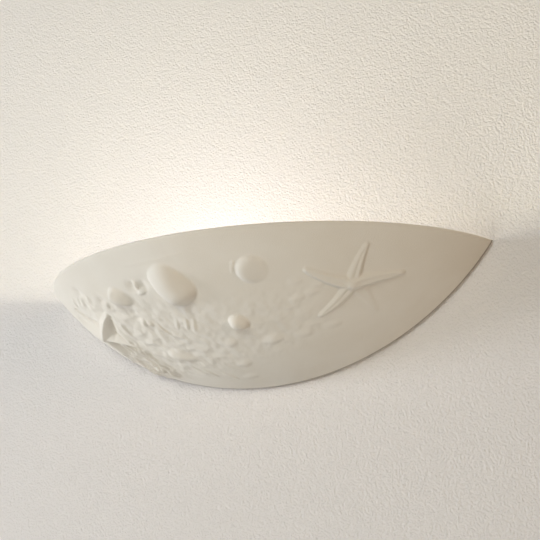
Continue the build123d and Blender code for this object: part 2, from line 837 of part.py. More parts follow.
def block_wire_start():
    """Z inside the block at which the inner wires begin."""
    return block_z + clamp_screw_offset - clamp_screw_r


def holder_wire(pole, level, side):
    """Wire from a pole up to its level, along the plate and forward into the lampholder."""
    x = pole_places()[pole]
    entry_z = lamp_z + side * terminal_offset
    points = [
        (x, clamp_y, block_wire_start()),
        (x, clamp_y, level),
        (terminal_x, clamp_y, level),
        (terminal_x, -wire_knee, entry_z),
        (terminal_x, terminal_end_y(), entry_z),
    ]
    return wire(points, [wire_bend_r, wire_knee_r, wire_knee_r])


def live_wire():
    """Wire to the upper entry of the lampholder."""
    return holder_wire(pole=0, level=live_level, side=1)


def neutral_wire():
    """Wire to the lower entry of the lampholder."""
    return holder_wire(pole=1, level=neutral_level, side=-1)


def earth_wire():
    """Wire from the right pole to the earth lug's barrel."""
    x = pole_places()[-1]
    run_in = (lug_barrel_end() - lug_barrel_length / 2, lug_axis_y(), earth_z)
    points = [
        (x, clamp_y, block_wire_start()),
        (x, clamp_y, earth_z),
        run_in,
        (earth_x - lug_r - lug_sheet, lug_axis_y(), earth_z),
    ]
    return wire(points, [wire_knee_r, earth_bend_r])


def thumbscrew(side):
    """Knurled screw through ear, pad and arm into the weld nut."""
    tip_y = arm_back_y + weld_nut_height + thumb_past_nut
    collar_y = washer_front_y - thumb_collar_length
    x = side * screw_x
    screw = cylinder_y(thumb_r, tip_y, washer_front_y, x)
    screw += cylinder_y(thumb_collar_r, washer_front_y, collar_y, x)
    points = []
    for index in range(2 * thumb_teeth):
        radius = thumb_head_r if index % 2 == 0 else thumb_head_r - thumb_tooth_depth
        angle = pi * index / thumb_teeth
        points.append((radius * cos(angle), radius * sin(angle)))
    head = extrude(make_face(Polyline(*points, close=True)), thumb_head_length)
    screw += Pos(x, collar_y, 0) * Rot(90, 0, 0) * head
    slot = Box(2 * thumb_head_r, 2 * thumb_slot_depth, thumb_slot_width)
    return screw - Pos(x, collar_y - thumb_head_length, 0) * slot


def screw_washer(side):
    """Fibre washer under a thumbscrew's head."""
    hole_r = thumb_r + hole_clearance
    return ring_y(washer_r, hole_r, ear_front_y, washer_front_y, side * screw_x)


def pieces():
    """Every node of the lamp, by name."""
    return {
        "ceramic_bowl": ceramic_bowl(),
        "wall_plate": wall_plate(),
        "weld_studs": weld_studs(),
        "weld_nuts": weld_nuts(),
        "rear_pads": rear_pads(),
        "cable_bush": cable_bush(),
        "holder_bracket": holder_bracket(),
        "bracket_washers": bracket_washers(),
        "bracket_nuts": bracket_nuts(),
        "lampholder_body": lampholder_body(),
        "lampholder_shell": lampholder_shell(),
        "centre_contact": centre_contact(),
        "side_contact": side_contact(),
        "holder_screws": holder_screws(),
        "holder_terminal_screws": holder_terminal_screws(),
        "terminal_block": terminal_block(),
        "terminal_clamps": terminal_clamps(),
        "terminal_screws": terminal_screws(),
        "terminal_nuts": terminal_nuts(),
        "earth_washer": earth_washer(),
        "earth_lug": earth_lug(),
        "earth_nut": earth_nut(),
        "live_wire": live_wire(),
        "neutral_wire": neutral_wire(),
        "earth_wire": earth_wire(),
        "thumbscrew_left": thumbscrew(-1),
        "thumbscrew_right": thumbscrew(1),
        "screw_washer_left": screw_washer(-1),
        "screw_washer_right": screw_washer(1),
        "bulb_globe": bulb_globe(),
        "bulb_cap": bulb_cap(),
        "bulb_insulator": bulb_insulator(),
        "bulb_contact": bulb_contact(),
        "glass_stem": glass_stem(),
        "filament_supports": filament_supports(),
        "filaments": filaments(),
    }


os.makedirs("parts", exist_ok=True)
for name, piece in pieces().items():
    node = Compound(children=piece) if isinstance(piece, list) else piece
    export_step(node, f"parts/{name}.step")
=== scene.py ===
"""Looks of a ceramic half-bowl wall lamp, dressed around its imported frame, in metres."""

import json
import logging
import math
from dataclasses import dataclass, field
from enum import Enum

import bmesh
import bpy
import numpy as np
from mathutils import Matrix, Vector, noise


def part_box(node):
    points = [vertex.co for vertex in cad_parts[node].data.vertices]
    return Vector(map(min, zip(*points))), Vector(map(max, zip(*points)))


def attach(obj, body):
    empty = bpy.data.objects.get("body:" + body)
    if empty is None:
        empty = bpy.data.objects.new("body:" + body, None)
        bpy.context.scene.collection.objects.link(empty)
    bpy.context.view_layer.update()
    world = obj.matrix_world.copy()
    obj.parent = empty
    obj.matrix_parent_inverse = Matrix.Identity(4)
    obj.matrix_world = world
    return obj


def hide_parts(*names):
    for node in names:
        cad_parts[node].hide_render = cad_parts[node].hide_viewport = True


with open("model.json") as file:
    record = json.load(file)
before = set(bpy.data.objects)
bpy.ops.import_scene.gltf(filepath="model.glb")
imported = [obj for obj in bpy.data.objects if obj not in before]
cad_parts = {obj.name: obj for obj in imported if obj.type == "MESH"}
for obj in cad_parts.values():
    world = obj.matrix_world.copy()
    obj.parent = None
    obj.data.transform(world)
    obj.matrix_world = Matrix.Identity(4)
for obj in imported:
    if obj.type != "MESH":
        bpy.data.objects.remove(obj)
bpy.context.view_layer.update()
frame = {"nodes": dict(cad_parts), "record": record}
LOG = logging.getLogger("wall_lamp")
MM = 0.001

Colour = tuple[float, float, float]
Point = tuple[float, float, float]
Place = tuple[float, float]
Span = tuple[float, float]
Curve = tuple[np.ndarray, np.ndarray]
Socket = bpy.types.NodeSocket
FULL: Span = (0.0, 1.0)


class Marks(Enum):
    """How a surface was made, which sets the marks that it carries."""

    CAST = "cast"
    DRAWN = "drawn"


def linear(colour: Colour) -> tuple[float, float, float, float]:
    """Turns an sRGB colour into scene-linear light.

    Args:
        colour: red, green and blue from 0 to 1.

    Returns:
        Linear red, green and blue, and an alpha of 1.
    """
    low, slope, lift, power = 0.04045, 12.92, 0.055, 2.4
    red, green, blue = (c / slope if c <= low else ((c + lift) / (1 + lift)) ** power for c in colour)
    return red, green, blue, 1.0


def smooth_step(low: float, high: float, value: np.ndarray) -> np.ndarray:
    """Eases from 0 at low to 1 at high.

    Args:
        low: value at which the result is 0; it may be above high.
        high: value at which the result is 1.
        value: the values to ease.

    Returns:
        Eased values from 0 to 1.
    """
    share = np.clip((value - low) / (high - low), 0.0, 1.0)
    return share * share * (3.0 - 2.0 * share)


class NodeBench:
    """Adds nodes to one node tree and joins them."""

    # The mix node has a set of sockets for each kind of data, so those for colours go by number.
    MIX_SHARE, MIX_FIRST, MIX_SECOND, MIX_RESULT = 0, 6, 7, 2

    def __init__(self, tree: bpy.types.NodeTree) -> None:
        """Keeps the tree that the nodes go into."""
        self.tree = tree

    def feed(self, socket: Socket, value: object) -> None:
        """Links an output to a socket, or sets the socket to a constant.

        Args:
            socket: the input to feed.
            value: an output socket, or a number, vector or colour.
        """
        if isinstance(value, bpy.types.NodeSocket):
            self.tree.links.new(value, socket)
        else:
            socket.default_value = value

    def add(
        self, kind: str, sockets: dict[str, object] | None = None, **options: object
    ) -> bpy.types.Node:
        """Adds a shader node.

        Args:
            kind: Blender's type name after "ShaderNode".
            sockets: inputs by name, each a constant or an output to link.
            options: the node's own settings.

        Returns:
            The new node.
        """
        node = self.tree.nodes.new("ShaderNode" + kind)
        for name, value in options.items():
            setattr(node, name, value)
        for name, value in (sockets or {}).items():
            self.feed(node.inputs[name], value)
        return node

    def noise(
        self, vector: Socket, scale: object, detail: float = 3.0, distortion: float = 0.0
    ) -> Socket:
        """Adds a noise texture.

        Args:
            vector: coordinates to read.
            scale: cells per metre.
            detail: octaves.
            distortion: how much the cells are pulled about.

        Returns:
            The noise, from 0 to 1.
        """
        sockets = {"Vector": vector, "Scale": scale, "Detail": detail, "Distortion": distortion}
        return self.add("TexNoise", sockets).outputs["Fac"]

    def remap(self, value: Socket, source: Span, target: Span) -> Socket:
        """Moves a value from one range to another, with smooth ends.

        Args:
            value: the value to move.
            source: lowest and highest incoming value.
            target: lowest and highest outgoing value.

        Returns:
            The moved value.
        """
        ends = zip(("From Min", "From Max", "To Min", "To Max"), (*source, *target))
        node = self.add("MapRange", {"Value": value, **dict(ends)}, interpolation_type="SMOOTHSTEP")
        return node.outputs["Result"]

    def cast_or_seen(self, cast: float, seen: float) -> Socket:
        """Gives one strength to the light that is cast and another to what is looked at.

        Args:
            cast: strength of the light that falls on other things.
            seen: strength of the surface itself.

        Returns:
            The strength.
        """
        looked_at = self.add("LightPath").outputs["Is Camera Ray"]
        return self.remap(looked_at, FULL, (cast, seen))

    def mix(self, share: Socket, first: object, second: object) -> Socket:
        """Mixes two colours.

        Args:
            share: 0 for the first colour, 1 for the second.
            first: a linear colour or an output.
            second: a linear colour or an output.

        Returns:
            The mixed colour.
        """
        node = self.add("Mix", data_type="RGBA")
        self.feed(node.inputs[self.MIX_SHARE], share)
        self.feed(node.inputs[self.MIX_FIRST], first)
        self.feed(node.inputs[self.MIX_SECOND], second)
        return node.outputs[self.MIX_RESULT]

    def math(self, operation: str, first: object, second: object) -> Socket:
        """Does one sum.

        Args:
            operation: Blender's name of the sum.
            first: a number or an output.
            second: a number or an output.

        Returns:
            The sum's value.
        """
        node = self.add("Math", operation=operation)
        self.feed(node.inputs[0], first)
        self.feed(node.inputs[1], second)
        return node.outputs[0]


@dataclass
class GroupShelf:
    """Node groups that several finishes share, each built once."""

    mottle_span: Span = (0.32, 0.68)
    mottle_detail: float = 4.0
    mottle_pull: float = 0.6
    grain_span: Span = (0.3, 0.7)
    grain_detail: float = 5.0
    drawn_out: Point = (0.04, 1.0, 1.0)
    made: dict[Marks, bpy.types.NodeTree] = field(default_factory=dict)

    def group(self, marks: Marks) -> bpy.types.NodeTree:
        """Gives the group for one kind of marks.

        Args:
            marks: how the surface was made.

        Returns:
            A group from Vector, Coarse and Fine to Mottle and Grain.
        """
        if marks not in self.made:
            self.made[marks] = self.build(marks)
        return self.made[marks]

    def build(self, marks: Marks) -> bpy.types.NodeTree:
        """Builds one group.

        Args:
            marks: cast gives round grains, drawn gives long lines.

        Returns:
            The new group.
        """
        tree = bpy.data.node_groups.new(f"{marks.value}_marks", "ShaderNodeTree")
        tree.interface.new_socket(name="Vector", in_out="INPUT", socket_type="NodeSocketVector")
        for name in ("Coarse", "Fine"):
            tree.interface.new_socket(name=name, in_out="INPUT", socket_type="NodeSocketFloat")
        for name in ("Mottle", "Grain"):
            tree.interface.new_socket(name=name, in_out="OUTPUT", socket_type="NodeSocketFloat")
        bench = NodeBench(tree)
        into = tree.nodes.new("NodeGroupInput")
        out = tree.nodes.new("NodeGroupOutput")
        vector = into.outputs["Vector"]
        coarse = into.outputs["Coarse"]
        mottle = bench.noise(vector, coarse, detail=self.mottle_detail, distortion=self.mottle_pull)
        bench.feed(out.inputs["Mottle"], bench.remap(mottle, self.mottle_span, FULL))
        if marks is Marks.DRAWN:
            stretch = bench.add("Mapping", {"Vector": vector, "Scale": self.drawn_out})
            vector = stretch.outputs["Vector"]
        grain = bench.noise(vector, into.outputs["Fine"], detail=self.grain_detail)
        bench.feed(out.inputs["Grain"], bench.remap(grain, self.grain_span, FULL))
        return tree


SHELF = GroupShelf()


@dataclass(frozen=True)
class Finish:
    """Surface of one material slot: two tones, a range of roughness and its marks."""

    slot: str
    light: Colour
    dark: Colour
    rough: Span
    marks: Marks = Marks.CAST
    coarse: float = 60.0
    fine: float = 1800.0
    depth: float = 0.00004
    metal: float = 0.0
    grain_in_mottle: Span = (0.55, 1.0)
    constants: tuple[tuple[str, float], ...] = ()

    def make(self) -> bpy.types.Material:
        """Builds the material.

        Returns:
            A procedural material named after the slot.
        """
        material = bpy.data.materials.new(f"{self.slot}_finish")
        material.use_nodes = True
        bench = NodeBench(material.node_tree)
        shader = material.node_tree.nodes["Principled BSDF"]
        place = bench.add("TexCoord").outputs["Object"]
        marks = bench.add("Group", node_tree=SHELF.group(self.marks))
        bench.feed(marks.inputs["Vector"], place)
        marks.inputs["Coarse"].default_value = self.coarse
        marks.inputs["Fine"].default_value = self.fine
        mottle, grain = marks.outputs["Mottle"], marks.outputs["Grain"]
        shader.inputs["Metallic"].default_value = self.metal
        for name, value in self.constants:
            shader.inputs[name].default_value = value
        bench.feed(shader.inputs["Base Color"], self.colour(bench, place, mottle, grain))
        bench.feed(shader.inputs["Roughness"], bench.remap(grain, FULL, self.rough))
        bump = bench.add("Bump", {"Strength": 1.0, "Distance": self.depth, "Height": grain})
        bench.feed(shader.inputs["Normal"], bump.outputs["Normal"])
        self.extra(bench, shader, mottle)
        return material

    def colour(self, bench: NodeBench, place: Socket, mottle: Socket, grain: Socket) -> Socket:
        """Mixes the base colour.

        Args:
            bench: where nodes are added.
            place: object coordinates; not used here.
            mottle: broad patches from 0 to 1.
            grain: fine grain from 0 to 1.

        Returns:
            The base colour.
        """
        share = bench.math("MULTIPLY", mottle, bench.remap(grain, FULL, self.grain_in_mottle))
        return bench.mix(share, linear(self.light), linear(self.dark))

    def extra(self, bench: NodeBench, shader: bpy.types.Node, mottle: Socket) -> None:
        """Sets what only some finishes have."""


@dataclass(frozen=True)
class BisqueFinish(Finish):
    """Unglazed fired clay, with painted highlights on its raised crests, painted shade in its hollows
    and a painted shadow along the edge at the wall.
    """

    # Painted shade: a darker colour where pointiness marks a hollow in the relief.
    hollow_shade: Colour = (0.76, 0.71, 0.62)
    hollow: Span = (0.40, 0.47)
    hollow_shade_share: float = 0.5
    # Painted highlight: a lighter colour where pointiness marks a raised crest.
    crest_highlight: Colour = (0.965, 0.95, 0.93)
    crest: Span = (0.53, 0.60)
    crest_highlight_share: float = 0.6
    # Painted shadow: a dark band on the clay just in front of the back edge, where the gap at the wall
    # lies in shade.
    gap_shadow: Colour = (0.55, 0.50, 0.43)
    gap_shadow_band: Span = (-0.0052, -0.0030)
    gap_shadow_share: float = 0.8

    def colour(self, bench: NodeBench, place: Socket, mottle: Socket, grain: Socket) -> Socket:
        """Mixes clay tones, then painted highlights on the crests, painted shade in the hollows and a
        painted shadow along the edge at the wall.

        Args:
            bench: where nodes are added.
            place: object coordinates.
            mottle: broad patches from 0 to 1.
            grain: fine grain from 0 to 1.

        Returns:
            The base colour.
        """
        tone = super().colour(bench, place, mottle, grain)
        point = bench.add("NewGeometry").outputs["Pointiness"]
        # Painted shade in the relief's hollows, from pointiness.
        hollow_shade_mask = bench.remap(point, self.hollow, (self.hollow_shade_share, 0.0))
        # Painted highlight on the raised crests, from pointiness.
        tone = bench.mix(bench.remap(point, self.crest, (0.0, self.crest_highlight_share)), tone, linear(self.crest_highlight))
        tone = bench.mix(hollow_shade_mask, tone, linear(self.hollow_shade))
        # Painted shadow in a band along the back edge at the wall.
        depth = bench.add("SeparateXYZ", {"Vector": place}).outputs["Y"]
        gap_shadow_mask = bench.remap(depth, self.gap_shadow_band, (0.0, self.gap_shadow_share))
        return bench.mix(gap_shadow_mask, tone, linear(self.gap_shadow))


@dataclass(frozen=True)
class StripedInsulation(Finish):
    """Wire insulation in two colours that run along the wire, parted at a depth from the wall."""

    stripe: Colour = (0.86, 0.74, 0.12)
    depth_from_wall: float = 0.0052
    edge: float = 0.0002

    def colour(self, bench: NodeBench, place: Socket, mottle: Socket, grain: Socket) -> Socket:
        """Mixes the insulation's colour, then the stripe on the side away from the wall.

        Args:
            bench: where nodes are added.
            place: object coordinates.
            mottle: broad patches from 0 to 1.
            grain: fine grain from 0 to 1.

        Returns:
            The base colour.
        """
        plain = super().colour(bench, place, mottle, grain)
        depth = bench.add("SeparateXYZ", {"Vector": place}).outputs["Y"]
        middle = -self.depth_from_wall
        front = bench.remap(depth, (middle - self.edge, middle + self.edge), (1.0, 0.0))
        return bench.mix(front, plain, linear(self.stripe))


@dataclass(frozen=True)
class LitFinish(Finish):
    """Surface of the lit bulb, which sends out its own warm light."""

    glow: Colour = (1.0, 0.86, 0.62)
    glow_edge: Colour = (1.0, 0.78, 0.5)
    strength: float = 1.0

    def extra(self, bench: NodeBench, shader: bpy.types.Node, mottle: Socket) -> None:
        """Makes the surface send out light.

        Args:
            bench: where nodes are added.
            shader: the material's shader.
            mottle: broad patches from 0 to 1.
        """
        warm = bench.mix(mottle, linear(self.glow), linear(self.glow_edge))
        bench.feed(shader.inputs["Emission Color"], warm)
        shader.inputs["Emission Strength"].default_value = self.strength


CHALKY = (("Specular IOR Level", 0.25), ("Diffuse Roughness", 0.6))
FROSTED = (("Transmission Weight", 0.85), ("IOR", 1.46))
FINISHES: tuple[Finish, ...] = (
    BisqueFinish(
        "bisque", light=(0.918, 0.893, 0.858), dark=(0.898, 0.868, 0.825), rough=(0.72, 0.86),
        coarse=14.0, fine=1500.0, depth=0.00006, constants=CHALKY,
    ),
    Finish(
        "steatite", light=(0.93, 0.91, 0.86), dark=(0.88, 0.85, 0.78), rough=(0.36, 0.5),
        coarse=70.0, fine=2400.0, depth=0.00003,
    ),
    Finish(
        "zinc_steel", light=(0.78, 0.79, 0.80), dark=(0.63, 0.64, 0.63), rough=(0.3, 0.46),
        marks=Marks.DRAWN, coarse=90.0, fine=2600.0, depth=0.000012, metal=1.0,
    ),
    Finish(
        "bright_steel", light=(0.86, 0.86, 0.86), dark=(0.74, 0.74, 0.75), rough=(0.2, 0.34),
        marks=Marks.DRAWN, coarse=160.0, fine=3000.0, depth=0.000008, metal=1.0,
    ),
    Finish(
        "nickel_brass", light=(0.86, 0.84, 0.78), dark=(0.74, 0.69, 0.58), rough=(0.18, 0.32),
        coarse=150.0, fine=2600.0, depth=0.000008, metal=1.0,
    ),
    Finish(
        "brass", light=(0.87, 0.72, 0.40), dark=(0.72, 0.55, 0.26), rough=(0.24, 0.4),
        marks=Marks.DRAWN, coarse=180.0, fine=3000.0, depth=0.00001, metal=1.0,
    ),
    Finish(
        "spring_bronze", light=(0.80, 0.58, 0.36), dark=(0.64, 0.42, 0.24), rough=(0.26, 0.4),
        marks=Marks.DRAWN, coarse=200.0, fine=3000.0, depth=0.00001, metal=1.0,
    ),
    Finish(
        "tinned_copper", light=(0.83, 0.82, 0.79), dark=(0.70, 0.66, 0.60), rough=(0.28, 0.44),
        coarse=220.0, fine=2600.0, depth=0.00001, metal=1.0,
    ),
    Finish(
        "solder", light=(0.74, 0.74, 0.74), dark=(0.56, 0.56, 0.57), rough=(0.3, 0.5),
        coarse=400.0, fine=2600.0, depth=0.00003, metal=1.0,
    ),
    Finish(
        "fibre", light=(0.60, 0.33, 0.24), dark=(0.42, 0.20, 0.14), rough=(0.6, 0.82),
        coarse=120.0, fine=2200.0, depth=0.00006,
    ),
    Finish(
        "black_rubber", light=(0.13, 0.13, 0.13), dark=(0.08, 0.08, 0.085), rough=(0.55, 0.75),
        coarse=110.0, fine=2600.0, depth=0.00004,
    ),
    Finish(
        "block_plastic", light=(0.93, 0.92, 0.88), dark=(0.87, 0.85, 0.80), rough=(0.38, 0.55),
        coarse=90.0, fine=2200.0, depth=0.00002,
    ),
    Finish(
        "brown_insulation", light=(0.37, 0.22, 0.13), dark=(0.28, 0.15, 0.09), rough=(0.32, 0.48),
        coarse=140.0, fine=2400.0, depth=0.00002,
    ),
    Finish(
        "blue_insulation", light=(0.12, 0.33, 0.66), dark=(0.08, 0.23, 0.52), rough=(0.32, 0.48),
        coarse=140.0, fine=2400.0, depth=0.00002,
    ),
    StripedInsulation(
        "green_yellow_insulation", light=(0.20, 0.52, 0.20), dark=(0.13, 0.40, 0.14), rough=(0.32, 0.48),
        coarse=140.0, fine=2400.0, depth=0.00002,
    ),
    LitFinish(
        "globe_glass", light=(0.99, 0.97, 0.93), dark=(0.95, 0.92, 0.86), rough=(0.28, 0.42),
        coarse=60.0, fine=1600.0, depth=0.00002, constants=FROSTED, strength=0.55,
    ),
    Finish(
        "black_glass", light=(0.10, 0.10, 0.12), dark=(0.05, 0.05, 0.06), rough=(0.08, 0.2),
        coarse=240.0, fine=2600.0, depth=0.00001,
    ),
    LitFinish(
        "filament_phosphor", light=(0.98, 0.83, 0.45), dark=(0.93, 0.72, 0.30), rough=(0.5, 0.7),
        coarse=300.0, fine=3000.0, depth=0.00003, strength=8.0,
    ),
)


class Paintbox:
    """Every slot's material, and which slot each node of the frame takes."""

    def __init__(self, finishes: tuple[Finish, ...]) -> None:
        """Makes each finish once.

        Args:
            finishes: one finish for each material slot.
        """
        self.materials = {finish.slot: finish.make() for finish in finishes}

    def dress(self, piece: bpy.types.Object, slot: str) -> None:
        """Gives a piece its slot's material.

        Args:
            piece: a mesh object.
            slot: the material slot's name.
        """
        piece.data.materials.clear()
        piece.data.materials.append(self.materials[slot])

    def dress_frame(self) -> None:
        """Gives every node of the frame its slot's material."""
        for row in frame["record"]["subparts"]:
            self.dress(frame["nodes"][row["node"]], row["material_slot"])
            LOG.info("node %s has %s", row["node"], row["material_slot"])


def finish_piece(name: str, mesh: bmesh.types.BMesh, sharp_deg: float = 50.0) -> bpy.types.Object:
    """Turns a bmesh into a smooth-shaded object at the origin.

    Args:
        name: the piece's name.
        mesh: the shape in metres, which is freed.
        sharp_deg: edges that turn by more than this stay sharp.

    Returns:
        The new object.
    """
    data = bpy.data.meshes.new(name)
    mesh.to_mesh(data)
    mesh.free()
    data.polygons.foreach_set("use_smooth", [True] * len(data.polygons))
    data.set_sharp_from_angle(angle=math.radians(sharp_deg))
    piece = bpy.data.objects.new(name, data)
    bpy.context.scene.collection.objects.link(piece)
    LOG.info("piece %s has %d faces", name, len(data.polygons))
    return piece


@dataclass
class BowlForm:
    """Spherical shell of the bowl, in millimetres, from its box in the frame.

    The rim is a level circle with a short upright land, and the back edge is cut by an
    upright plane just in front of the wall.
    """

    wall: float = 5.5
    rim_land: float = 1.5
    least_room: float = 1e-6
    low: np.ndarray = field(init=False)
    high: np.ndarray = field(init=False)
    rim_r: float = field(init=False)
    outer_r: float = field(init=False)
    inner_r: float = field(init=False)
    centre: np.ndarray = field(init=False)

    def __post_init__(self) -> None:
        """Works out the sphere from the bowl's box."""
        self.low, self.high = (np.array(corner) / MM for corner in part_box("ceramic_bowl"))
        half_width = self.half_width
        depth = self.high[1] - self.low[1]
        drop = self.high[2] - self.low[2] - self.rim_land
        self.rim_r = (half_width**2 + depth**2) / (2 * depth)
        rise = (half_width**2 - drop**2) / (2 * drop)
        self.outer_r = math.hypot(self.rim_r, rise)
        self.inner_r = self.outer_r - self.wall
        self.centre = np.array([0.0, self.low[1] + self.rim_r, self.high[2] - self.rim_land + rise])

    @property
    def half_width(self) -> float:
        """Half of the length along the wall."""
        return float(self.high[0] - self.low[0]) / 2

    @property
    def axis_to_back(self) -> float:
        """Distance from the sphere's upright axis to the back edge's plane."""
        return float(self.centre[1] - self.high[1])

    def angles(self, x: np.ndarray) -> tuple[np.ndarray, np.ndarray, np.ndarray]:
        """Finds where an upright slice across the wall meets the rim and the back edge.

        Args:
            x: the slice's place along the wall.

        Returns:
            The slice's radius, and the angles of rim and back edge below the level line.
        """
        section_r = np.sqrt(self.outer_r**2 - x**2)
        rim = np.arcsin((self.centre[2] - self.high[2]) / section_r)
        back = np.arccos(np.clip(self.axis_to_back / section_r, -1.0, 1.0))
        return section_r, rim, back

    def meridian(self, angle: np.ndarray) -> Curve:
        """Gives distance from the upright axis and height at angles from the sphere's lowest point."""
        return self.outer_r * np.sin(angle), self.centre[2] - self.outer_r * np.cos(angle)

    def spot(self, place: Place) -> tuple[np.ndarray, np.ndarray, np.ndarray]:
        """Finds a place on the outer face.

        Args:
            place: along, from -1 at the left tip to 1 at the right tip, and down, from 0 at
                the rim to 1 at the back edge.

        Returns:
            The face's normal, and the directions to the right and towards the rim.
        """
        along, down = place
        x = np.array(along * self.half_width)
        section_r, rim, back = self.angles(x)
        angle = rim + down * (back - rim)
        normal = np.array([x, -section_r * np.cos(angle), -section_r * np.sin(angle)]) / self.outer_r
        up = np.array([0.0, 0.0, 1.0]) - normal * normal[2]
        up /= np.linalg.norm(up)
        return normal, np.cross(up, normal), up

    def places(self, normals: np.ndarray) -> tuple[np.ndarray, np.ndarray]:
        """Finds along and down for points on the outer face.

        Args:
            normals: one unit normal in each row.

        Returns:
            Along and down of each point.
        """
        points = normals * self.outer_r
        _, rim, back = self.angles(np.clip(points[:, 0], -self.half_width, self.half_width))
        angle = np.arctan2(-points[:, 2], -points[:, 1])
        room = np.maximum(back - rim, self.least_room)
        return points[:, 0] / self.half_width, (angle - rim) / room

    def local(
        self, normals: np.ndarray, place: Place, turn_deg: float = 0.0
    ) -> tuple[np.ndarray, np.ndarray]:
        """Measures points in millimetres from a place, along its own turned directions.

        Args:
            normals: one unit normal in each row.
            place: along and down of the place.
            turn_deg: turn of the first direction from rightwards towards the rim.

        Returns:
            Distances along the first and the second direction.
        """
        _, right, up = self.spot(place)
        turn = math.radians(turn_deg)
        first = right * math.cos(turn) + up * math.sin(turn)
        second = up * math.cos(turn) - right * math.sin(turn)
        return self.outer_r * (normals @ first), self.outer_r * (normals @ second)


def run_between(
    form: BowlForm, normals: np.ndarray, start: Place, end: Place
) -> tuple[np.ndarray, np.ndarray]:
    """Measures points along and beside the line between two places.

    Args:
        form: the bowl.
        normals: one unit normal in each row.
        start: along and down of the line's start.
        end: along and down of its end.

    Returns:
        Share of the way from start to end, and the distance beside the line in millimetres.
    """
    first, last = form.spot(start)[0], form.spot(end)[0]
    step = last - first
    length = np.linalg.norm(step)
    middle = (first + last) / np.linalg.norm(first + last)
    sideways = np.cross(middle, step / length)
    share = ((normals - first) @ step) / length**2
    return share, form.outer_r * ((normals - first) @ sideways)


@dataclass(frozen=True)
class Mound:
    """Shell, pebble or lump that stands out of the bowl: an egg or a rounded oblong in plan, domed."""

    place: Place
    narrow_deg: float
    half_length: float
    half_width: float
    height: float
    taper: float = 0.0
    taper_end: float = 1.2
    crest: float = 0.0
    fullness: float = 2.2
    soft: float = 1.0
    lean: float = 0.0
    square: float = 2.0

    def heights(self, form: BowlForm, normals: np.ndarray) -> np.ndarray:
        """Gives the mound's height over each point.

        Args:
            form: the bowl.
            normals: one unit normal in each row.

        Returns:
            Heights in millimetres.
        """
        along, across = form.local(normals, self.place, self.narrow_deg)
        share = along / self.half_length
        narrowing = self.taper * np.clip(share, -self.taper_end, self.taper_end)
        width = self.half_width * (1.0 - narrowing)
        from_crest = share - self.crest
        reach_along = from_crest / np.where(from_crest > 0, 1.0 - self.crest, 1.0 + self.crest)
        plan = np.abs(reach_along) ** self.square + np.abs(across / width) ** self.square
        reach = plan ** (1.0 / self.square)
        tilt = 1.0 - self.lean * np.clip((1.0 + share) / 2, 0.0, 1.0)
        return self.height * tilt * np.clip(1.0 - reach**self.fullness, 0.0, None) ** self.soft


@dataclass(frozen=True)
class StarArm:
    """One arm of a starfish, with its height and width as shares of the starfish's own."""

    turn_deg: float
    length: float
    height: float = 1.0
    width: float = 1.0


@dataclass(frozen=True)
class Starfish:
    """Five tapered arms on one centre, each with a groove along it or a sharp roof.

    Root and tip each give an arm's half width and height.
    """

    place: Place
    arms: tuple[StarArm, ...]
    root: Span
    tip: Span
    fullness: float
    groove: float = 0.0
    groove_width: float = 0.3
    groove_start: float = 0.2
    groove_end: float = 0.75
    bow: float = 1.6

    def heights(self, form: BowlForm, normals: np.ndarray) -> np.ndarray:
        """Gives the starfish's height over each point.

        Args:
            form: the bowl.
            normals: one unit normal in each row.

        Returns:
            Heights in millimetres.
        """
        total = np.zeros(len(normals))
        for arm in self.arms:
            along, across = form.local(normals, self.place, arm.turn_deg)
            share = np.clip(along / arm.length, 0.0, 1.0)
            across = across - self.bow * np.sin(math.pi * share)
            half = arm.width * (self.root[0] + (self.tip[0] - self.root[0]) * share)
            high = arm.height * (self.root[1] + (self.tip[1] - self.root[1]) * share)
            beyond = np.clip(along - (arm.length - half), 0.0, None)
            before = np.clip(-along, 0.0, None)
            reach = np.sqrt(across**2 + beyond**2 + before**2) / half
            ridge = np.clip(1.0 - reach**self.fullness, 0.0, None)
            fade = smooth_step(0.0, self.groove_start, share) * smooth_step(1.0, self.groove_end, share)
            line = np.exp(-((across / (self.groove_width * half)) ** 2)) * fade
            total = np.maximum(total, high * ridge * (1.0 - self.groove * line))
        return total


@dataclass(frozen=True)
class Ridge:
    """Low bank between two places, thin at both ends, or a furrow where its height is below 0."""

    start: Place
    end: Place
    half_width: float
    height: float
    bow: float = 0.0
    fullness: float = 1.8
    thinnest: float = 0.05

    def heights(self, form: BowlForm, normals: np.ndarray) -> np.ndarray:
        """Gives the height of the bank or furrow over each point.

        Args:
            form: the bowl.
            normals: one unit normal in each row.

        Returns:
            Heights in millimetres.
        """
        share, across = run_between(form, normals, self.start, self.end)
        arch = np.sin(math.pi * np.clip(share, 0.0, 1.0))
        swell = np.sqrt(np.clip(arch, 0.0, 1.0))
        offset = (across - self.bow * arch) / (self.half_width * np.maximum(swell, self.thinnest))
        return self.height * swell * np.clip(1.0 - offset**2, 0.0, None) ** self.fullness


@dataclass(frozen=True)
class Dimple:
    """Small round hollow in the sand."""

    place: Place
    radius: float
    depth: float
    same_side: float = 0.8

    def heights(self, form: BowlForm, normals: np.ndarray) -> np.ndarray:
        """Gives the hollow's height, below zero, over each point.

        Args:
            form: the bowl.
            normals: one unit normal in each row.

        Returns:
            Heights in millimetres.
        """
        along, across = form.local(normals, self.place)
        facing = normals @ form.spot(self.place)[0] > self.same_side
        return -self.depth * np.exp(-((np.hypot(along, across) / self.radius) ** 2)) * facing


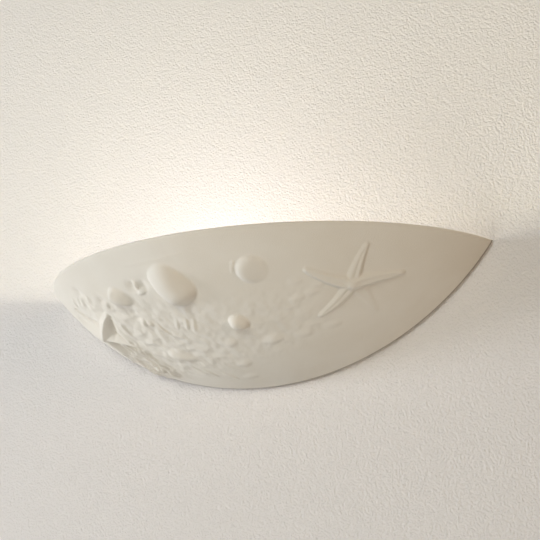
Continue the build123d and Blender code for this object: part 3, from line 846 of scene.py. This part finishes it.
@dataclass(frozen=True)
class WeedPatch:
    """Tangle of weed along a line: short wavy strands that run with it, thinning out at its edges."""

    start: Place
    end: Place
    half_width: float
    height: float
    strand: Span
    fade_in: Span = (-0.12, 0.3)
    fade_out: Span = (1.2, 0.65)
    full_share: float = 0.2
    layer: float = 1.7
    wave_scale: float = 0.6
    wave_reach: float = 1.3
    strand_slope: float = 2.2
    clump_scale: float = 0.7
    clump_from: Point = (4.3, 0.0, 2.9)
    clump_mean: float = 0.75
    clump_swing: float = 0.9
    thinnest: float = 0.2

    def heights(self, form: BowlForm, normals: np.ndarray) -> np.ndarray:
        """Gives the tangle's height over each point.

        Args:
            form: the bowl.
            normals: one unit normal in each row.

        Returns:
            Heights in millimetres.
        """
        share, across = run_between(form, normals, self.start, self.end)
        run = np.linalg.norm(form.spot(self.end)[0] - form.spot(self.start)[0]) * form.outer_r
        spread = smooth_step(*self.fade_in, share) * smooth_step(*self.fade_out, share)
        full = self.full_share * self.half_width
        spread = spread * smooth_step(self.half_width, full, np.abs(across))
        total = np.zeros(len(normals))
        length, width = self.strand
        for index in np.flatnonzero(spread > 0.0):
            flow = Vector((share[index] * run / length, across[index] / width, self.layer))
            wave = noise.noise(flow * self.wave_scale) * self.wave_reach
            ridge = 1.0 - self.strand_slope * abs(noise.noise(flow + Vector((0.0, wave, 0.0))))
            swing = noise.noise(flow * self.clump_scale + Vector(self.clump_from))
            thick = self.clump_mean + self.clump_swing * swing
            total[index] = max(ridge, 0.0) * min(max(thick, self.thinnest), 1.0)
        return total * spread * self.height


@dataclass
class SandGround:
    """Sand and small grit between the shells, drawn out down-right on the left, up-right on the right.

    Its bounds are in the bowl's along and down: a top and a bottom line, each through a place
    and with a slope, and two ends.
    """

    lump: float = 7.2
    grit: float = 3.6
    lump_height: float = 1.15
    grit_height: float = 0.52
    lump_layer: float = 3.1
    grit_layer: float = 7.7
    stretch: float = 1.2
    left_flow_deg: float = -40.0
    right_flow_deg: float = 20.0
    flow_middle: Place = (0.0, 0.5)
    flow_change: Span = (-0.1, 0.2)
    calm: float = 0.5
    rougher: float = 0.6
    rough_change: Span = (0.1, -0.4)
    top_place: Place = (-0.6, 0.22)
    top_slope: float = 0.11
    top_fade: Span = (-0.05, 0.12)
    bottom_place: Place = (-0.57, 0.98)
    bottom_slope: float = -0.30
    bottom_fade: Span = (-0.04, 0.16)
    left_end: Span = (-0.8, -0.64)
    right_end: Span = (0.56, 0.3)

    def spread(self, form: BowlForm, normals: np.ndarray) -> np.ndarray:
        """Gives how much sand there is over each point.

        Args:
            form: the bowl.
            normals: one unit normal in each row.

        Returns:
            Shares from 0 to 1.
        """
        along, down = form.places(normals)
        top = self.top_place[1] + self.top_slope * (along - self.top_place[0])
        bottom = self.bottom_place[1] + self.bottom_slope * (along - self.bottom_place[0])
        from_top = smooth_step(*self.top_fade, down - top)
        from_bottom = smooth_step(*self.bottom_fade, bottom - down)
        ends = smooth_step(*self.left_end, along) * smooth_step(*self.right_end, along)
        return from_top * from_bottom * ends

    def layer(self, run: float, step: float) -> float:
        """Gives the height of lumps and grit at one point.

        Args:
            run: distance along the sand's flow.
            step: distance across it.

        Returns:
            The height in millimetres.
        """
        coarse = Vector((run / (self.stretch * self.lump), step / self.lump, self.lump_layer))
        fine = Vector((run / (self.stretch * self.grit), step / self.grit, self.grit_layer))
        return self.lump_height * noise.noise(coarse) + self.grit_height * noise.noise(fine)

    def heights(self, form: BowlForm, normals: np.ndarray) -> np.ndarray:
        """Gives the sand's height over each point.

        Args:
            form: the bowl.
            normals: one unit normal in each row.

        Returns:
            Heights in millimetres.
        """
        spread = self.spread(form, normals)
        along, _ = form.places(normals)
        rough_side = self.calm + self.rougher * smooth_step(*self.rough_change, along)
        rightness = smooth_step(*self.flow_change, along)
        turns = (self.left_flow_deg, self.right_flow_deg)
        flows = [form.local(normals, self.flow_middle, turn) for turn in turns]
        total = np.zeros(len(normals))
        for index in np.flatnonzero(spread > 0.0):
            left, right = (self.layer(run[index], step[index]) for run, step in flows)
            share = rightness[index]
            total[index] = left * (1.0 - share) + right * share
        return total * spread * rough_side


@dataclass
class SeaBed:
    """The whole relief on the bowl: shells, starfish, weed, banks, furrows, hollows and sand."""

    fade: float = 5.0
    deepest: float = 3.6
    facing_limit: float = 0.2
    covered_at: float = 1.6
    covered: float = 0.85
    sand: SandGround = field(default_factory=SandGround)

    def shells(self) -> list[Mound]:
        """Lists the shells, pebbles and lumps, the largest first."""
        return [
            Mound((-0.100, 0.224), 120.0, 20.6, 15.2, 11.0, taper=0.05, crest=-0.25, square=2.6),
            Mound((-0.367, 0.256), 140.0, 11.8, 8.8, 7.0, taper=0.1, crest=0.42),
            Mound((0.238, 0.212), -28.0, 12.8, 12.2, 4.4, fullness=4.0, lean=0.94),
            Mound((0.098, 0.466), 140.0, 8.6, 7.2, 6.6, taper=0.1, crest=0.3, fullness=2.3),
            Mound((-0.235, 0.656), 142.0, 15.5, 9.5, 3.4, crest=0.45, fullness=2.0, soft=1.7),
            *self.lumps(),
        ]

    def lumps(self) -> list[Mound]:
        """Lists the small lumps and grains that lie singly."""
        return [
            Mound((-0.261, 0.205), 80.0, 5.0, 2.8, 1.7, soft=1.2),
            Mound((-0.247, 0.240), 10.0, 5.4, 2.8, 1.7, soft=1.2),
            Mound((-0.466, 0.295), 60.0, 4.4, 3.2, 1.8, soft=1.3),
            Mound((-0.318, 0.415), 60.0, 5.2, 3.2, 1.9, soft=1.3),
            Mound((-0.288, 0.421), 80.0, 4.2, 3.2, 1.7, soft=1.3),
            Mound((0.176, 0.168), 60.0, 3.0, 1.6, 0.5, soft=1.3),
            Mound((0.165, 0.196), 75.0, 3.4, 1.6, 0.5, soft=1.3),
            Mound((0.184, 0.607), 25.0, 10.0, 6.2, 1.2, soft=1.9),
            Mound((0.304, 0.617), 15.0, 10.0, 6.2, 0.9, soft=1.9),
            Mound((0.415, 0.620), 20.0, 10.0, 5.6, 0.6, soft=1.9),
            Mound((0.005, 0.736), 15.0, 8.5, 5.8, 1.0, soft=1.9),
            Mound((0.015, 0.580), 40.0, 8.0, 6.0, 1.1, soft=1.9),
            Mound((-0.014, 0.850), 20.0, 10.0, 5.6, 0.6, soft=1.9),
            Mound((0.367, 0.308), 10.0, 7.5, 5.0, 0.6, soft=1.9),
            Mound((0.349, 0.398), 20.0, 8.5, 5.2, 0.8, soft=1.9),
            Mound((0.405, 0.385), 25.0, 8.0, 4.8, 0.7, soft=1.9),
            Mound((0.438, 0.350), 15.0, 7.0, 4.4, 0.5, soft=1.9),
        ]

    def starfish(self) -> list[Starfish]:
        """Lists the starfish, right and left."""
        right_arms = (
            StarArm(12.0, 42.0, height=1.4),
            StarArm(82.0, 36.0),
            StarArm(166.0, 41.0, height=1.25),
            StarArm(241.0, 39.0, height=1.05),
            StarArm(314.0, 40.0, height=0.4),
        )
        left_arms = (
            StarArm(18.0, 39.0, height=1.1, width=1.3),
            StarArm(132.0, 39.0, height=1.1, width=1.1),
            StarArm(182.0, 34.0, height=0.8),
            StarArm(245.0, 41.0, height=0.95),
            StarArm(312.0, 34.0, height=0.9),
        )
        return [
            Starfish(
                (0.548, 0.397), right_arms, root=(7.2, 2.9), tip=(2.1, 1.1), fullness=2.2,
                groove=0.4, groove_width=0.34,
            ),
            Starfish((-0.594, 0.555), left_arms, root=(8.0, 8.0), tip=(1.8, 2.6), fullness=1.05),
        ]

    def weed(self) -> list[WeedPatch]:
        """Lists the weed along the lower left."""
        return [
            WeedPatch((-0.53, 0.52), (-0.36, 0.90), 19.0, 4.4, strand=(17.0, 4.0)),
            WeedPatch((-0.61, 0.62), (-0.46, 0.97), 16.0, 4.4, strand=(17.0, 3.8)),
        ]

    def banks(self) -> list[Ridge]:
        """Lists the short banks in the sand and the line under the rim."""
        return [
            Ridge((-0.693, 0.231), (-0.705, 0.325), 3.0, 1.1),
            Ridge((-0.655, 0.232), (-0.668, 0.325), 2.8, 0.9),
            Ridge((-0.620, 0.228), (-0.635, 0.315), 2.8, 0.9),
            Ridge((-0.570, 0.225), (-0.574, 0.296), 3.0, 1.0),
            Ridge((-0.259, 0.420), (-0.208, 0.510), 2.0, 1.5, bow=-1.2),
            Ridge((-0.460, 0.425), (-0.435, 0.525), 2.4, 1.9),
            Ridge((-0.155, 0.403), (-0.175, 0.468), 2.6, 0.8),
            Ridge((-0.111, 0.403), (-0.132, 0.472), 2.8, 0.9),
            Ridge((-0.079, 0.410), (-0.106, 0.487), 2.8, 0.8),
            Ridge((-0.215, 0.748), (-0.155, 0.840), 3.0, 0.9),
            Ridge((-0.255, 0.735), (-0.195, 0.815), 2.6, 0.8),
            Ridge((-0.130, 0.795), (-0.075, 0.870), 2.8, 0.7),
            Ridge((-0.330, 0.098), (0.060, 0.080), 2.4, 0.35),
        ]

    def furrows(self) -> list[Ridge]:
        """Lists the furrows that cut in beside the left starfish's arms."""
        return [
            Ridge((-0.748, 0.348), (-0.585, 0.505), 4.8, -5.4),
            Ridge((-0.505, 0.400), (-0.545, 0.560), 3.2, -2.0),
            Ridge((-0.590, 0.640), (-0.520, 0.830), 3.4, -2.4),
        ]

    def hollows(self) -> list[Dimple]:
        """Lists the hollows in the sand."""
        return [
            Dimple((-0.284, 0.208), 4.4, 2.3),
            Dimple((-0.230, 0.211), 4.4, 2.2),
            Dimple((-0.625, 0.198), 5.0, 1.8),
            Dimple((-0.494, 0.275), 4.2, 1.8),
            Dimple((-0.345, 0.350), 4.2, 1.9),
            Dimple((-0.343, 0.393), 4.0, 1.7),
            Dimple((0.266, 0.172), 2.6, 0.9),
        ]

    def heights(self, form: BowlForm, normals: np.ndarray, edge_distance: np.ndarray) -> np.ndarray:
        """Gives the whole relief's height over each point of the outer face.

        Args:
            form: the bowl.
            normals: one unit normal in each row.
            edge_distance: distance of each point to the nearest edge, in millimetres.

        Returns:
            Heights in millimetres, nothing at the edges.
        """
        facing = (normals[:, 1] < self.facing_limit).astype(float)
        solid = np.zeros(len(normals))
        for motif in (*self.shells(), *self.starfish(), *self.weed(), *self.banks()):
            solid = np.maximum(solid, motif.heights(form, normals) * facing)
        bare = 1.0 - self.covered * np.clip(solid / self.covered_at, 0.0, 1.0)
        ground = self.sand.heights(form, normals)
        for hollow in self.hollows():
            ground = ground + hollow.heights(form, normals)
        cut = sum(furrow.heights(form, normals) * facing for furrow in self.furrows())
        carved = np.maximum(solid + ground * bare + cut, -self.deepest)
        return carved * smooth_step(0.0, self.fade, edge_distance)


def even_rows(count: int) -> np.ndarray:
    """Gives even shares from 0 to 1, one in each row."""
    return np.linspace(0.0, 1.0, count)[:, None]


def bezier_rows(points: list[Curve], count: int) -> Curve:
    """Draws a Bezier curve for every column, without its two ends.

    Args:
        points: distance and height of each control point, by column.
        count: number of rows.

    Returns:
        Distances and heights, by row and column.
    """
    share = np.linspace(0.0, 1.0, count + 2)[1:-1, None]
    order = len(points) - 1
    weights = [math.comb(order, k) * share**k * (1 - share) ** (order - k) for k in range(order + 1)]
    return tuple(sum(w * p[axis] for w, p in zip(weights, points)) for axis in (0, 1))


@dataclass
class CeramicBowl:
    """The bowl as one closed skin: outer face with relief, rounded rim, plain inner face."""

    form: BowlForm = field(default_factory=BowlForm)
    sea_bed: SeaBed = field(default_factory=SeaBed)
    columns: int = 520
    outer_rows: int = 150
    relief_end_deg: float = 42.0
    plain_spacing: float = 2.4
    lip_rows: int = 8
    corner_rows: int = 4
    inner_rows: int = 14
    back_rows: int = 2
    lip_round: float = 2.6
    corner_round: float = 1.4
    back_round: float = 2.2
    slim: float = 8.0
    weld: float = 0.5e-6
    sharp_deg: float = 60.0

    def column_turns(self) -> np.ndarray:
        """Spaces the columns about the sphere's axis, closer together where the relief is.

        Returns:
            Each column's angle about the axis, in one row.
        """
        tip_angle = math.acos(self.form.axis_to_back / self.form.rim_r)
        relief_end = math.radians(self.relief_end_deg)
        plain = (tip_angle - relief_end) / self.plain_spacing
        steps_to = np.array([0.0, tip_angle + relief_end, tip_angle + relief_end + plain])
        even = np.linspace(0.0, steps_to[-1], self.columns + 1)
        return np.interp(even, steps_to, [-tip_angle, relief_end, tip_angle])[None, :]

    def section(self) -> tuple[np.ndarray, np.ndarray, np.ndarray]:
        """Draws the upright section through the wall of the bowl for every column.

        Returns:
            Distance from the sphere's axis and height, by row and column, and each column's
            angle about the axis. The first and last rows are the same.
        """
        form = self.form
        rim_z, land_z = form.high[2], form.high[2] - form.rim_land
        turn = self.column_turns()
        back = np.minimum(form.axis_to_back / np.cos(turn), form.rim_r)
        slim = np.clip((form.rim_r - back) / self.slim, 0.0, 1.0)
        ease = slim * self.back_round

        low_angle = np.arcsin(np.minimum(back + ease, form.rim_r) / form.outer_r)
        rim_angle = math.asin(form.rim_r / form.outer_r)
        lip_angle = np.maximum(rim_angle - slim * self.lip_round / form.outer_r, low_angle)
        flat = np.zeros_like(back)
        face = form.meridian(low_angle + even_rows(self.outer_rows) * (lip_angle - low_angle))

        inner_rim = math.sqrt(form.inner_r**2 - (form.centre[2] - rim_z) ** 2)
        corner = np.maximum(inner_rim, back)
        brink = (corner + slim * self.corner_round, flat + rim_z)
        shoulder = (form.rim_r - slim * self.lip_round, flat + rim_z)
        edge_low, edge_high = (flat + form.rim_r, flat + land_z), (flat + form.rim_r, flat + rim_z)
        lip = bezier_rows([form.meridian(lip_angle), edge_low, edge_high, shoulder], self.lip_rows)

        top_angle = np.arcsin(corner / form.inner_r)
        end_angle = np.arcsin(np.minimum(back, corner) / form.inner_r)
        open_angle = np.where(back < inner_rim, top_angle - end_angle, 0.0)
        bent = slim * self.corner_round / form.inner_r
        first_angle = top_angle - np.minimum(bent, open_angle / 2)
        hollow = open_angle > 0.0
        inside_angle = first_angle + even_rows(self.inner_rows) * (end_angle - first_angle)
        inside_r = np.where(hollow, form.inner_r * np.sin(inside_angle), corner)
        inside_z = np.where(hollow, form.centre[2] - form.inner_r * np.cos(inside_angle), rim_z)
        first = (inside_r[:1], inside_z[:1])
        bend = bezier_rows([brink, (corner, flat + rim_z), first], self.corner_rows)

        foot_z = form.centre[2] - np.sqrt(form.outer_r**2 - back**2) + ease
        back_z = inside_z[-1:] + even_rows(self.back_rows + 1)[1:] * (foot_z - inside_z[-1:])
        back_r = np.broadcast_to(back, back_z.shape)
        parts_r = [face[0], lip[0], shoulder[0], brink[0], bend[0], inside_r, back_r, face[0][:1]]
        parts_z = [face[1], lip[1], shoulder[1], brink[1], bend[1], inside_z, back_z, face[1][:1]]
        reach, height = np.concatenate(parts_r), np.concatenate(parts_z)
        reach[:, [0, -1]] = form.rim_r
        height[:, [0, -1]] = (rim_z + land_z) / 2
        return reach, height, turn

    def points(self) -> np.ndarray:
        """Places every point of the skin, with the relief on the outer face.

        Returns:
            Points in millimetres, by row, column and axis.
        """
        form = self.form
        reach, height, turn = self.section()
        x, y = reach * np.sin(turn), form.centre[1] - reach * np.cos(turn)
        points = np.stack([x, y, height], axis=-1)
        face = points[: self.outer_rows].reshape(-1, 3) - form.centre
        normals = face / np.linalg.norm(face, axis=1)[:, None]
        to_back = form.high[1] - (normals[:, 1] * form.outer_r + form.centre[1])
        level = np.hypot(normals[:, 0], normals[:, 1]) * form.outer_r
        to_rim = (form.rim_r - level) * form.outer_r / (form.centre[2] - form.high[2])
        heights = self.sea_bed.heights(form, normals, np.minimum(to_back, to_rim))
        raised = form.centre + normals * (form.outer_r + heights)[:, None]
        points[: self.outer_rows] = raised.reshape(points[: self.outer_rows].shape)
        points[: self.outer_rows, [0, -1]] = points[self.outer_rows, [0, -1]]
        points[-1] = points[0]
        return points

    def build(self) -> bpy.types.Object:
        """Models the bowl.

        Returns:
            The bowl's skin, closed.
        """
        points = self.points()
        rows, columns, _ = points.shape
        mesh = bmesh.new()
        bmesh.ops.create_grid(mesh, x_segments=columns - 1, y_segments=rows - 1, size=1.0)
        for vertex, point in zip(mesh.verts, points.reshape(-1, 3) * MM):
            vertex.co = point
        bmesh.ops.remove_doubles(mesh, verts=mesh.verts, dist=self.weld)
        bmesh.ops.dissolve_degenerate(mesh, edges=mesh.edges, dist=self.weld)
        bmesh.ops.recalc_face_normals(mesh, faces=mesh.faces)
        return finish_piece("bowl_skin", mesh, sharp_deg=self.sharp_deg)

    def dress(self, piece: bpy.types.Object, paints: Paintbox) -> None:
        """Gives the bowl its clay and its place in the frame.

        Args:
            piece: the bowl's skin.
            paints: the materials.
        """
        paints.dress(piece, "bisque")
        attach(piece, "bowl")
        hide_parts("ceramic_bowl")


@dataclass
class BowlEar:
    """Flat clay ear inside the back of the bowl, with the thumbscrew's hole."""

    form: BowlForm
    side: int
    thickness: float = 6.0
    below_rim: float = 12.0
    hole_clearance: float = 0.75
    washer_room: float = 0.3
    in_wall: float = 2.5
    screw_to_edge: float = 27.0
    round: float = 1.0
    round_steps: int = 3
    brink_deg: float = 60.0
    arc_steps: int = 28
    hole_steps: int = 32

    @property
    def name(self) -> str:
        """The word for this side."""
        return "left" if self.side < 0 else "right"

    def outline(self, screw_x: float, front: float) -> list[Place]:
        """Draws the ear's edge: its inner top corner, then an arc just inside the bowl's wall.

        Args:
            screw_x: the screw's place along the wall, in millimetres.
            front: the ear's front face, in millimetres.

        Returns:
            Distance from the lamp's middle and height of each corner.
        """
        form = self.form
        middle = front + self.thickness / 2
        top = form.high[2] - self.below_rim
        near = abs(screw_x) - self.screw_to_edge
        section_r = math.sqrt(form.inner_r**2 - (middle - form.centre[1]) ** 2) + self.in_wall
        start = math.asin(near / section_r)
        end = math.acos((form.centre[2] - top) / section_r)
        corners = [(near, top)]
        for step in range(self.arc_steps + 1):
            angle = start + (end - start) * step / self.arc_steps
            corners.append((section_r * math.sin(angle), form.centre[2] - section_r * math.cos(angle)))
        return corners

    def build(self) -> bpy.types.Object:
        """Models the ear.

        Returns:
            The ear, closed, with rounded edges.
        """
        low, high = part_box(f"screw_washer_{self.name}")
        screw = (low + high) / 2 / MM
        front = high.y / MM
        mesh = bmesh.new()
        corners = [mesh.verts.new((self.side * x, front, z)) for x, z in self.outline(screw.x, front)]
        edges = [mesh.edges.new(pair) for pair in zip(corners, corners[1:] + corners[:1])]
        hole = bmesh.ops.create_circle(
            mesh, segments=self.hole_steps, radius=self.shank_radius() + self.hole_clearance,
            matrix=Matrix.Translation((screw.x, front, screw.z)) @ Matrix.Rotation(math.pi / 2, 4, "X"),
        )
        edges += list({edge for vertex in hole["verts"] for edge in vertex.link_edges})
        faces = bmesh.ops.triangle_fill(mesh, edges=edges, use_beauty=True)["geom"]
        flat = [item for item in faces if isinstance(item, bmesh.types.BMFace)]
        raised = bmesh.ops.extrude_face_region(mesh, geom=flat)["geom"]
        moved = [item for item in raised if isinstance(item, bmesh.types.BMVert)]
        bmesh.ops.translate(mesh, verts=moved, vec=(0.0, self.thickness, 0.0))
        bmesh.ops.recalc_face_normals(mesh, faces=mesh.faces)
        sharp = math.radians(self.brink_deg)
        brinks = [edge for edge in mesh.edges if edge.calc_face_angle(0.0) > sharp]
        bmesh.ops.bevel(
            mesh, geom=brinks, offset=self.round, segments=self.round_steps, profile=0.5,
            affect="EDGES", material=-1, clamp_overlap=True,
        )
        bmesh.ops.scale(mesh, verts=mesh.verts, vec=(MM, MM, MM))
        return finish_piece(f"bowl_ear_{self.name}", mesh)

    def shank_radius(self) -> float:
        """Radius of the thumbscrew's shank in millimetres, from the hole in its washer."""
        washer = frame["nodes"][f"screw_washer_{self.name}"].data
        low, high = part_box(f"screw_washer_{self.name}")
        middle = (low + high) / 2
        inner = min(math.hypot(v.co.x - middle.x, v.co.z - middle.z) for v in washer.vertices)
        return inner / MM - self.washer_room

    def dress(self, piece: bpy.types.Object, paints: Paintbox) -> None:
        """Gives the ear its clay and its place in the frame.

        Args:
            piece: the ear.
            paints: the materials.
        """
        paints.dress(piece, "bisque")
        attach(piece, "bowl")


@dataclass(frozen=True)
class SoftLight:
    """Large square soft light that points at the lamp."""

    name: str
    place: Point
    side: float
    power: float
    colour: Colour
    target: Point = (0.0, -0.06, 0.0)

    def build(self) -> bpy.types.Object:
        """Adds the light.

        Returns:
            The light's object.
        """
        data = bpy.data.lights.new(self.name, "AREA")
        data.shape = "SQUARE"
        data.size = self.side
        data.energy = self.power
        data.color = linear(self.colour)[:3]
        light = bpy.data.objects.new(self.name, data)
        light.location = self.place
        aim = Vector(self.target) - Vector(self.place)
        light.rotation_euler = aim.to_track_quat("-Z", "Y").to_euler()
        light.visible_camera = False
        bpy.context.scene.collection.objects.link(light)
        return light


@dataclass(frozen=True)
class BulbGlow:
    """The bulb's light, sent up out of the bowl: a part that stays even and a part that fades."""

    name: str
    colour: Colour
    even_strength: float = 0.0
    near_strength: float = 0.0
    place: Point = (-0.045, -0.095, 0.021)
    radius: float = 0.02
    spread_deg: float = 176.0
    soft_edge: float = 0.06

    def build(self) -> bpy.types.Object:
        """Adds the glow.

        Returns:
            The light's object.
        """
        data = bpy.data.lights.new(self.name, "SPOT")
        data.spot_size = math.radians(self.spread_deg)
        data.spot_blend = self.soft_edge
        data.shadow_soft_size = self.radius
        data.energy = 1.0
        data.color = linear(self.colour)[:3]
        data.use_nodes = True
        bench = NodeBench(data.node_tree)
        even = bench.add("LightFalloff", {"Strength": self.even_strength}).outputs["Constant"]
        near = bench.add("LightFalloff", {"Strength": self.near_strength}).outputs["Linear"]
        emission = data.node_tree.nodes["Emission"]
        bench.feed(emission.inputs["Strength"], bench.math("ADD", even, near))
        glow = bpy.data.objects.new(self.name, data)
        glow.location = self.place
        glow.rotation_euler = (math.pi, 0.0, 0.0)
        glow.visible_camera = False
        bpy.context.scene.collection.objects.link(glow)
        return glow


@dataclass(frozen=True)
class RoomPaint:
    """Plain pale paint with a fine stucco, for the wall behind the lamp or the floor below it."""

    name: str
    light: Colour
    dark: Colour
    one_sided: bool = False
    seen: float = 0.0
    patch_scale: float = 2.0
    stucco_scale: float = 620.0
    stucco_detail: float = 2.0
    stucco_strength: float = 0.85
    stucco_depth: float = 0.0012
    roughness: float = 0.9
    gloss: float = 0.2

    def make(self) -> bpy.types.Material:
        """Builds the paint.

        Returns:
            A material that is see-through from behind where it is one-sided, and otherwise
            brighter to look at than the light it casts.
        """
        material = bpy.data.materials.new(self.name)
        material.use_nodes = True
        bench = NodeBench(material.node_tree)
        shader = material.node_tree.nodes["Principled BSDF"]
        place = bench.add("TexCoord").outputs["Object"]
        patches = bench.noise(place, self.patch_scale)
        tone = bench.mix(patches, linear(self.light), linear(self.dark))
        bench.feed(shader.inputs["Base Color"], tone)
        stucco = bench.noise(place, self.stucco_scale, detail=self.stucco_detail)
        relief = {"Strength": self.stucco_strength, "Distance": self.stucco_depth, "Height": stucco}
        bench.feed(shader.inputs["Normal"], bench.add("Bump", relief).outputs["Normal"])
        shader.inputs["Roughness"].default_value = self.roughness
        shader.inputs["Specular IOR Level"].default_value = self.gloss
        if self.one_sided:
            self.open_back(bench, shader)
        else:
            shader.inputs["Emission Color"].default_value = linear(self.light)
            bench.feed(shader.inputs["Emission Strength"], bench.cast_or_seen(0.0, self.seen))
        return material

    def open_back(self, bench: NodeBench, shader: bpy.types.Node) -> None:
        """Makes the back of the surface see-through.

        Args:
            bench: where nodes are added.
            shader: the paint's shader.
        """
        back = bench.add("NewGeometry").outputs["Backfacing"]
        clear = bench.add("BsdfTransparent").outputs["BSDF"]
        mixed = bench.add("MixShader")
        for socket, part in zip(mixed.inputs, (back, shader.outputs["BSDF"], clear)):
            bench.feed(socket, part)
        out = bench.tree.nodes["Material Output"]
        bench.feed(out.inputs["Surface"], mixed.outputs["Shader"])


WALL_PAINT = RoomPaint("wall_paint", (0.888, 0.864, 0.850), (0.872, 0.848, 0.832), one_sided=True)
FLOOR_PAINT = RoomPaint("floor_paint", (0.88, 0.87, 0.86), (0.86, 0.85, 0.84), seen=0.6)


@dataclass
class Studio:
    """Pale wall and floor, soft light, the lamp's own glow and the camera."""

    wall_gap: float = 0.0006
    wall_half: float = 1.2
    floor_drop: float = 2.6
    floor_half: float = 16.0
    lens: float = 80.0
    sensor: float = 36.0
    camera_place: Point = (0.40969, -0.91442, -0.20913)
    camera_forward: Point = (-0.39317, 0.88885, 0.23528)
    camera_up: Point = (0.13675, -0.19651, 0.97092)
    sky: Colour = (0.97, 0.96, 0.95)
    sky_strength: float = 0.08
    sky_seen: float = 0.7

    def plane(self, name: str, place: Matrix, half: float, paint: RoomPaint) -> bpy.types.Object:
        """Adds one flat surface that isn't part of the lamp.

        Args:
            name: the surface's name.
            place: where it stands, facing its own +Z.
            half: half of its side.
            paint: its paint.

        Returns:
            The surface.
        """
        mesh = bmesh.new()
        bmesh.ops.create_grid(mesh, x_segments=1, y_segments=1, size=half, matrix=place)
        piece = finish_piece(name, mesh)
        piece.data.materials.append(paint.make())
        return piece

    def build_surfaces(self) -> None:
        """Adds the wall behind the lamp, which casts no shadow, and the floor below it."""
        upright = Matrix.Translation((0.0, self.wall_gap, 0.0)) @ Matrix.Rotation(math.pi / 2, 4, "X")
        wall = self.plane("wall", upright, self.wall_half, WALL_PAINT)
        wall.visible_shadow = False
        level = Matrix.Translation((0.0, 0.0, -self.floor_drop))
        self.plane("floor", level, self.floor_half, FLOOR_PAINT)

    def build_sky(self) -> None:
        """Adds the pale sky, brighter to look at than the light it casts."""
        world = bpy.data.worlds.new("studio_sky")
        world.use_nodes = True
        backdrop = world.node_tree.nodes["Background"]
        backdrop.inputs["Color"].default_value = linear(self.sky)
        bench = NodeBench(world.node_tree)
        bench.feed(backdrop.inputs["Strength"], bench.cast_or_seen(self.sky_strength, self.sky_seen))
        bpy.context.scene.world = world

    def build_lights(self) -> None:
        """Adds the soft lights and the lamp's own glow."""
        lights = (
            SoftLight("window_light", (-1.92, -0.90, 0.0), 0.6, 25.0, (0.93, 0.957, 1.0)),
            SoftLight("room_light", (0.0, -2.07, 0.37), 0.6, 15.0, (0.99, 1.0, 0.97)),
            SoftLight("floor_bounce", (-0.8, -1.2, -1.4), 1.4, 12.5, (0.99, 1.0, 0.97)),
            SoftLight("warm_bounce", (1.85, -1.0, 0.17), 0.8, 8.0, (1.0, 0.86, 0.66)),
            SoftLight("back_light", (0.6, 2.0, 1.2), 1.6, 30.0, (1.0, 0.995, 0.985), (0.0, 0.0, 0.0)),
            BulbGlow("far_glow", (1.0, 0.965, 0.64), even_strength=17.0),
            BulbGlow("near_glow", (0.82, 0.85, 1.0), near_strength=3.5),
        )
        for light in lights:
            light.build()
            LOG.info("light %s", light.name)

    def build_camera(self) -> None:
        """Adds the camera at the photograph's angle."""
        data = bpy.data.cameras.new("camera")
        data.lens = self.lens
        data.sensor_width = self.sensor
        camera = bpy.data.objects.new("camera", data)
        forward = Vector(self.camera_forward).normalized()
        right = forward.cross(Vector(self.camera_up)).normalized()
        turn = Matrix((right, right.cross(forward), -forward)).transposed()
        camera.matrix_world = Matrix.Translation(self.camera_place) @ turn.to_4x4()
        bpy.context.scene.collection.objects.link(camera)
        bpy.context.scene.camera = camera

    def build(self) -> None:
        """Sets the whole studio up."""
        self.build_surfaces()
        self.build_sky()
        self.build_lights()
        self.build_camera()
        bpy.context.scene.view_settings.view_transform = "Standard"


def main() -> None:
    """Builds and dresses the lamp, then the studio round it."""
    logging.basicConfig(level=logging.INFO, format="%(name)s: %(message)s")
    Studio().build()
    paints = Paintbox(FINISHES)
    paints.dress_frame()
    bowl = CeramicBowl()
    bowl.dress(bowl.build(), paints)
    for side in (-1, 1):
        ear = BowlEar(bowl.form, side)
        ear.dress(ear.build(), paints)


if __name__ == "__main__":
    main()
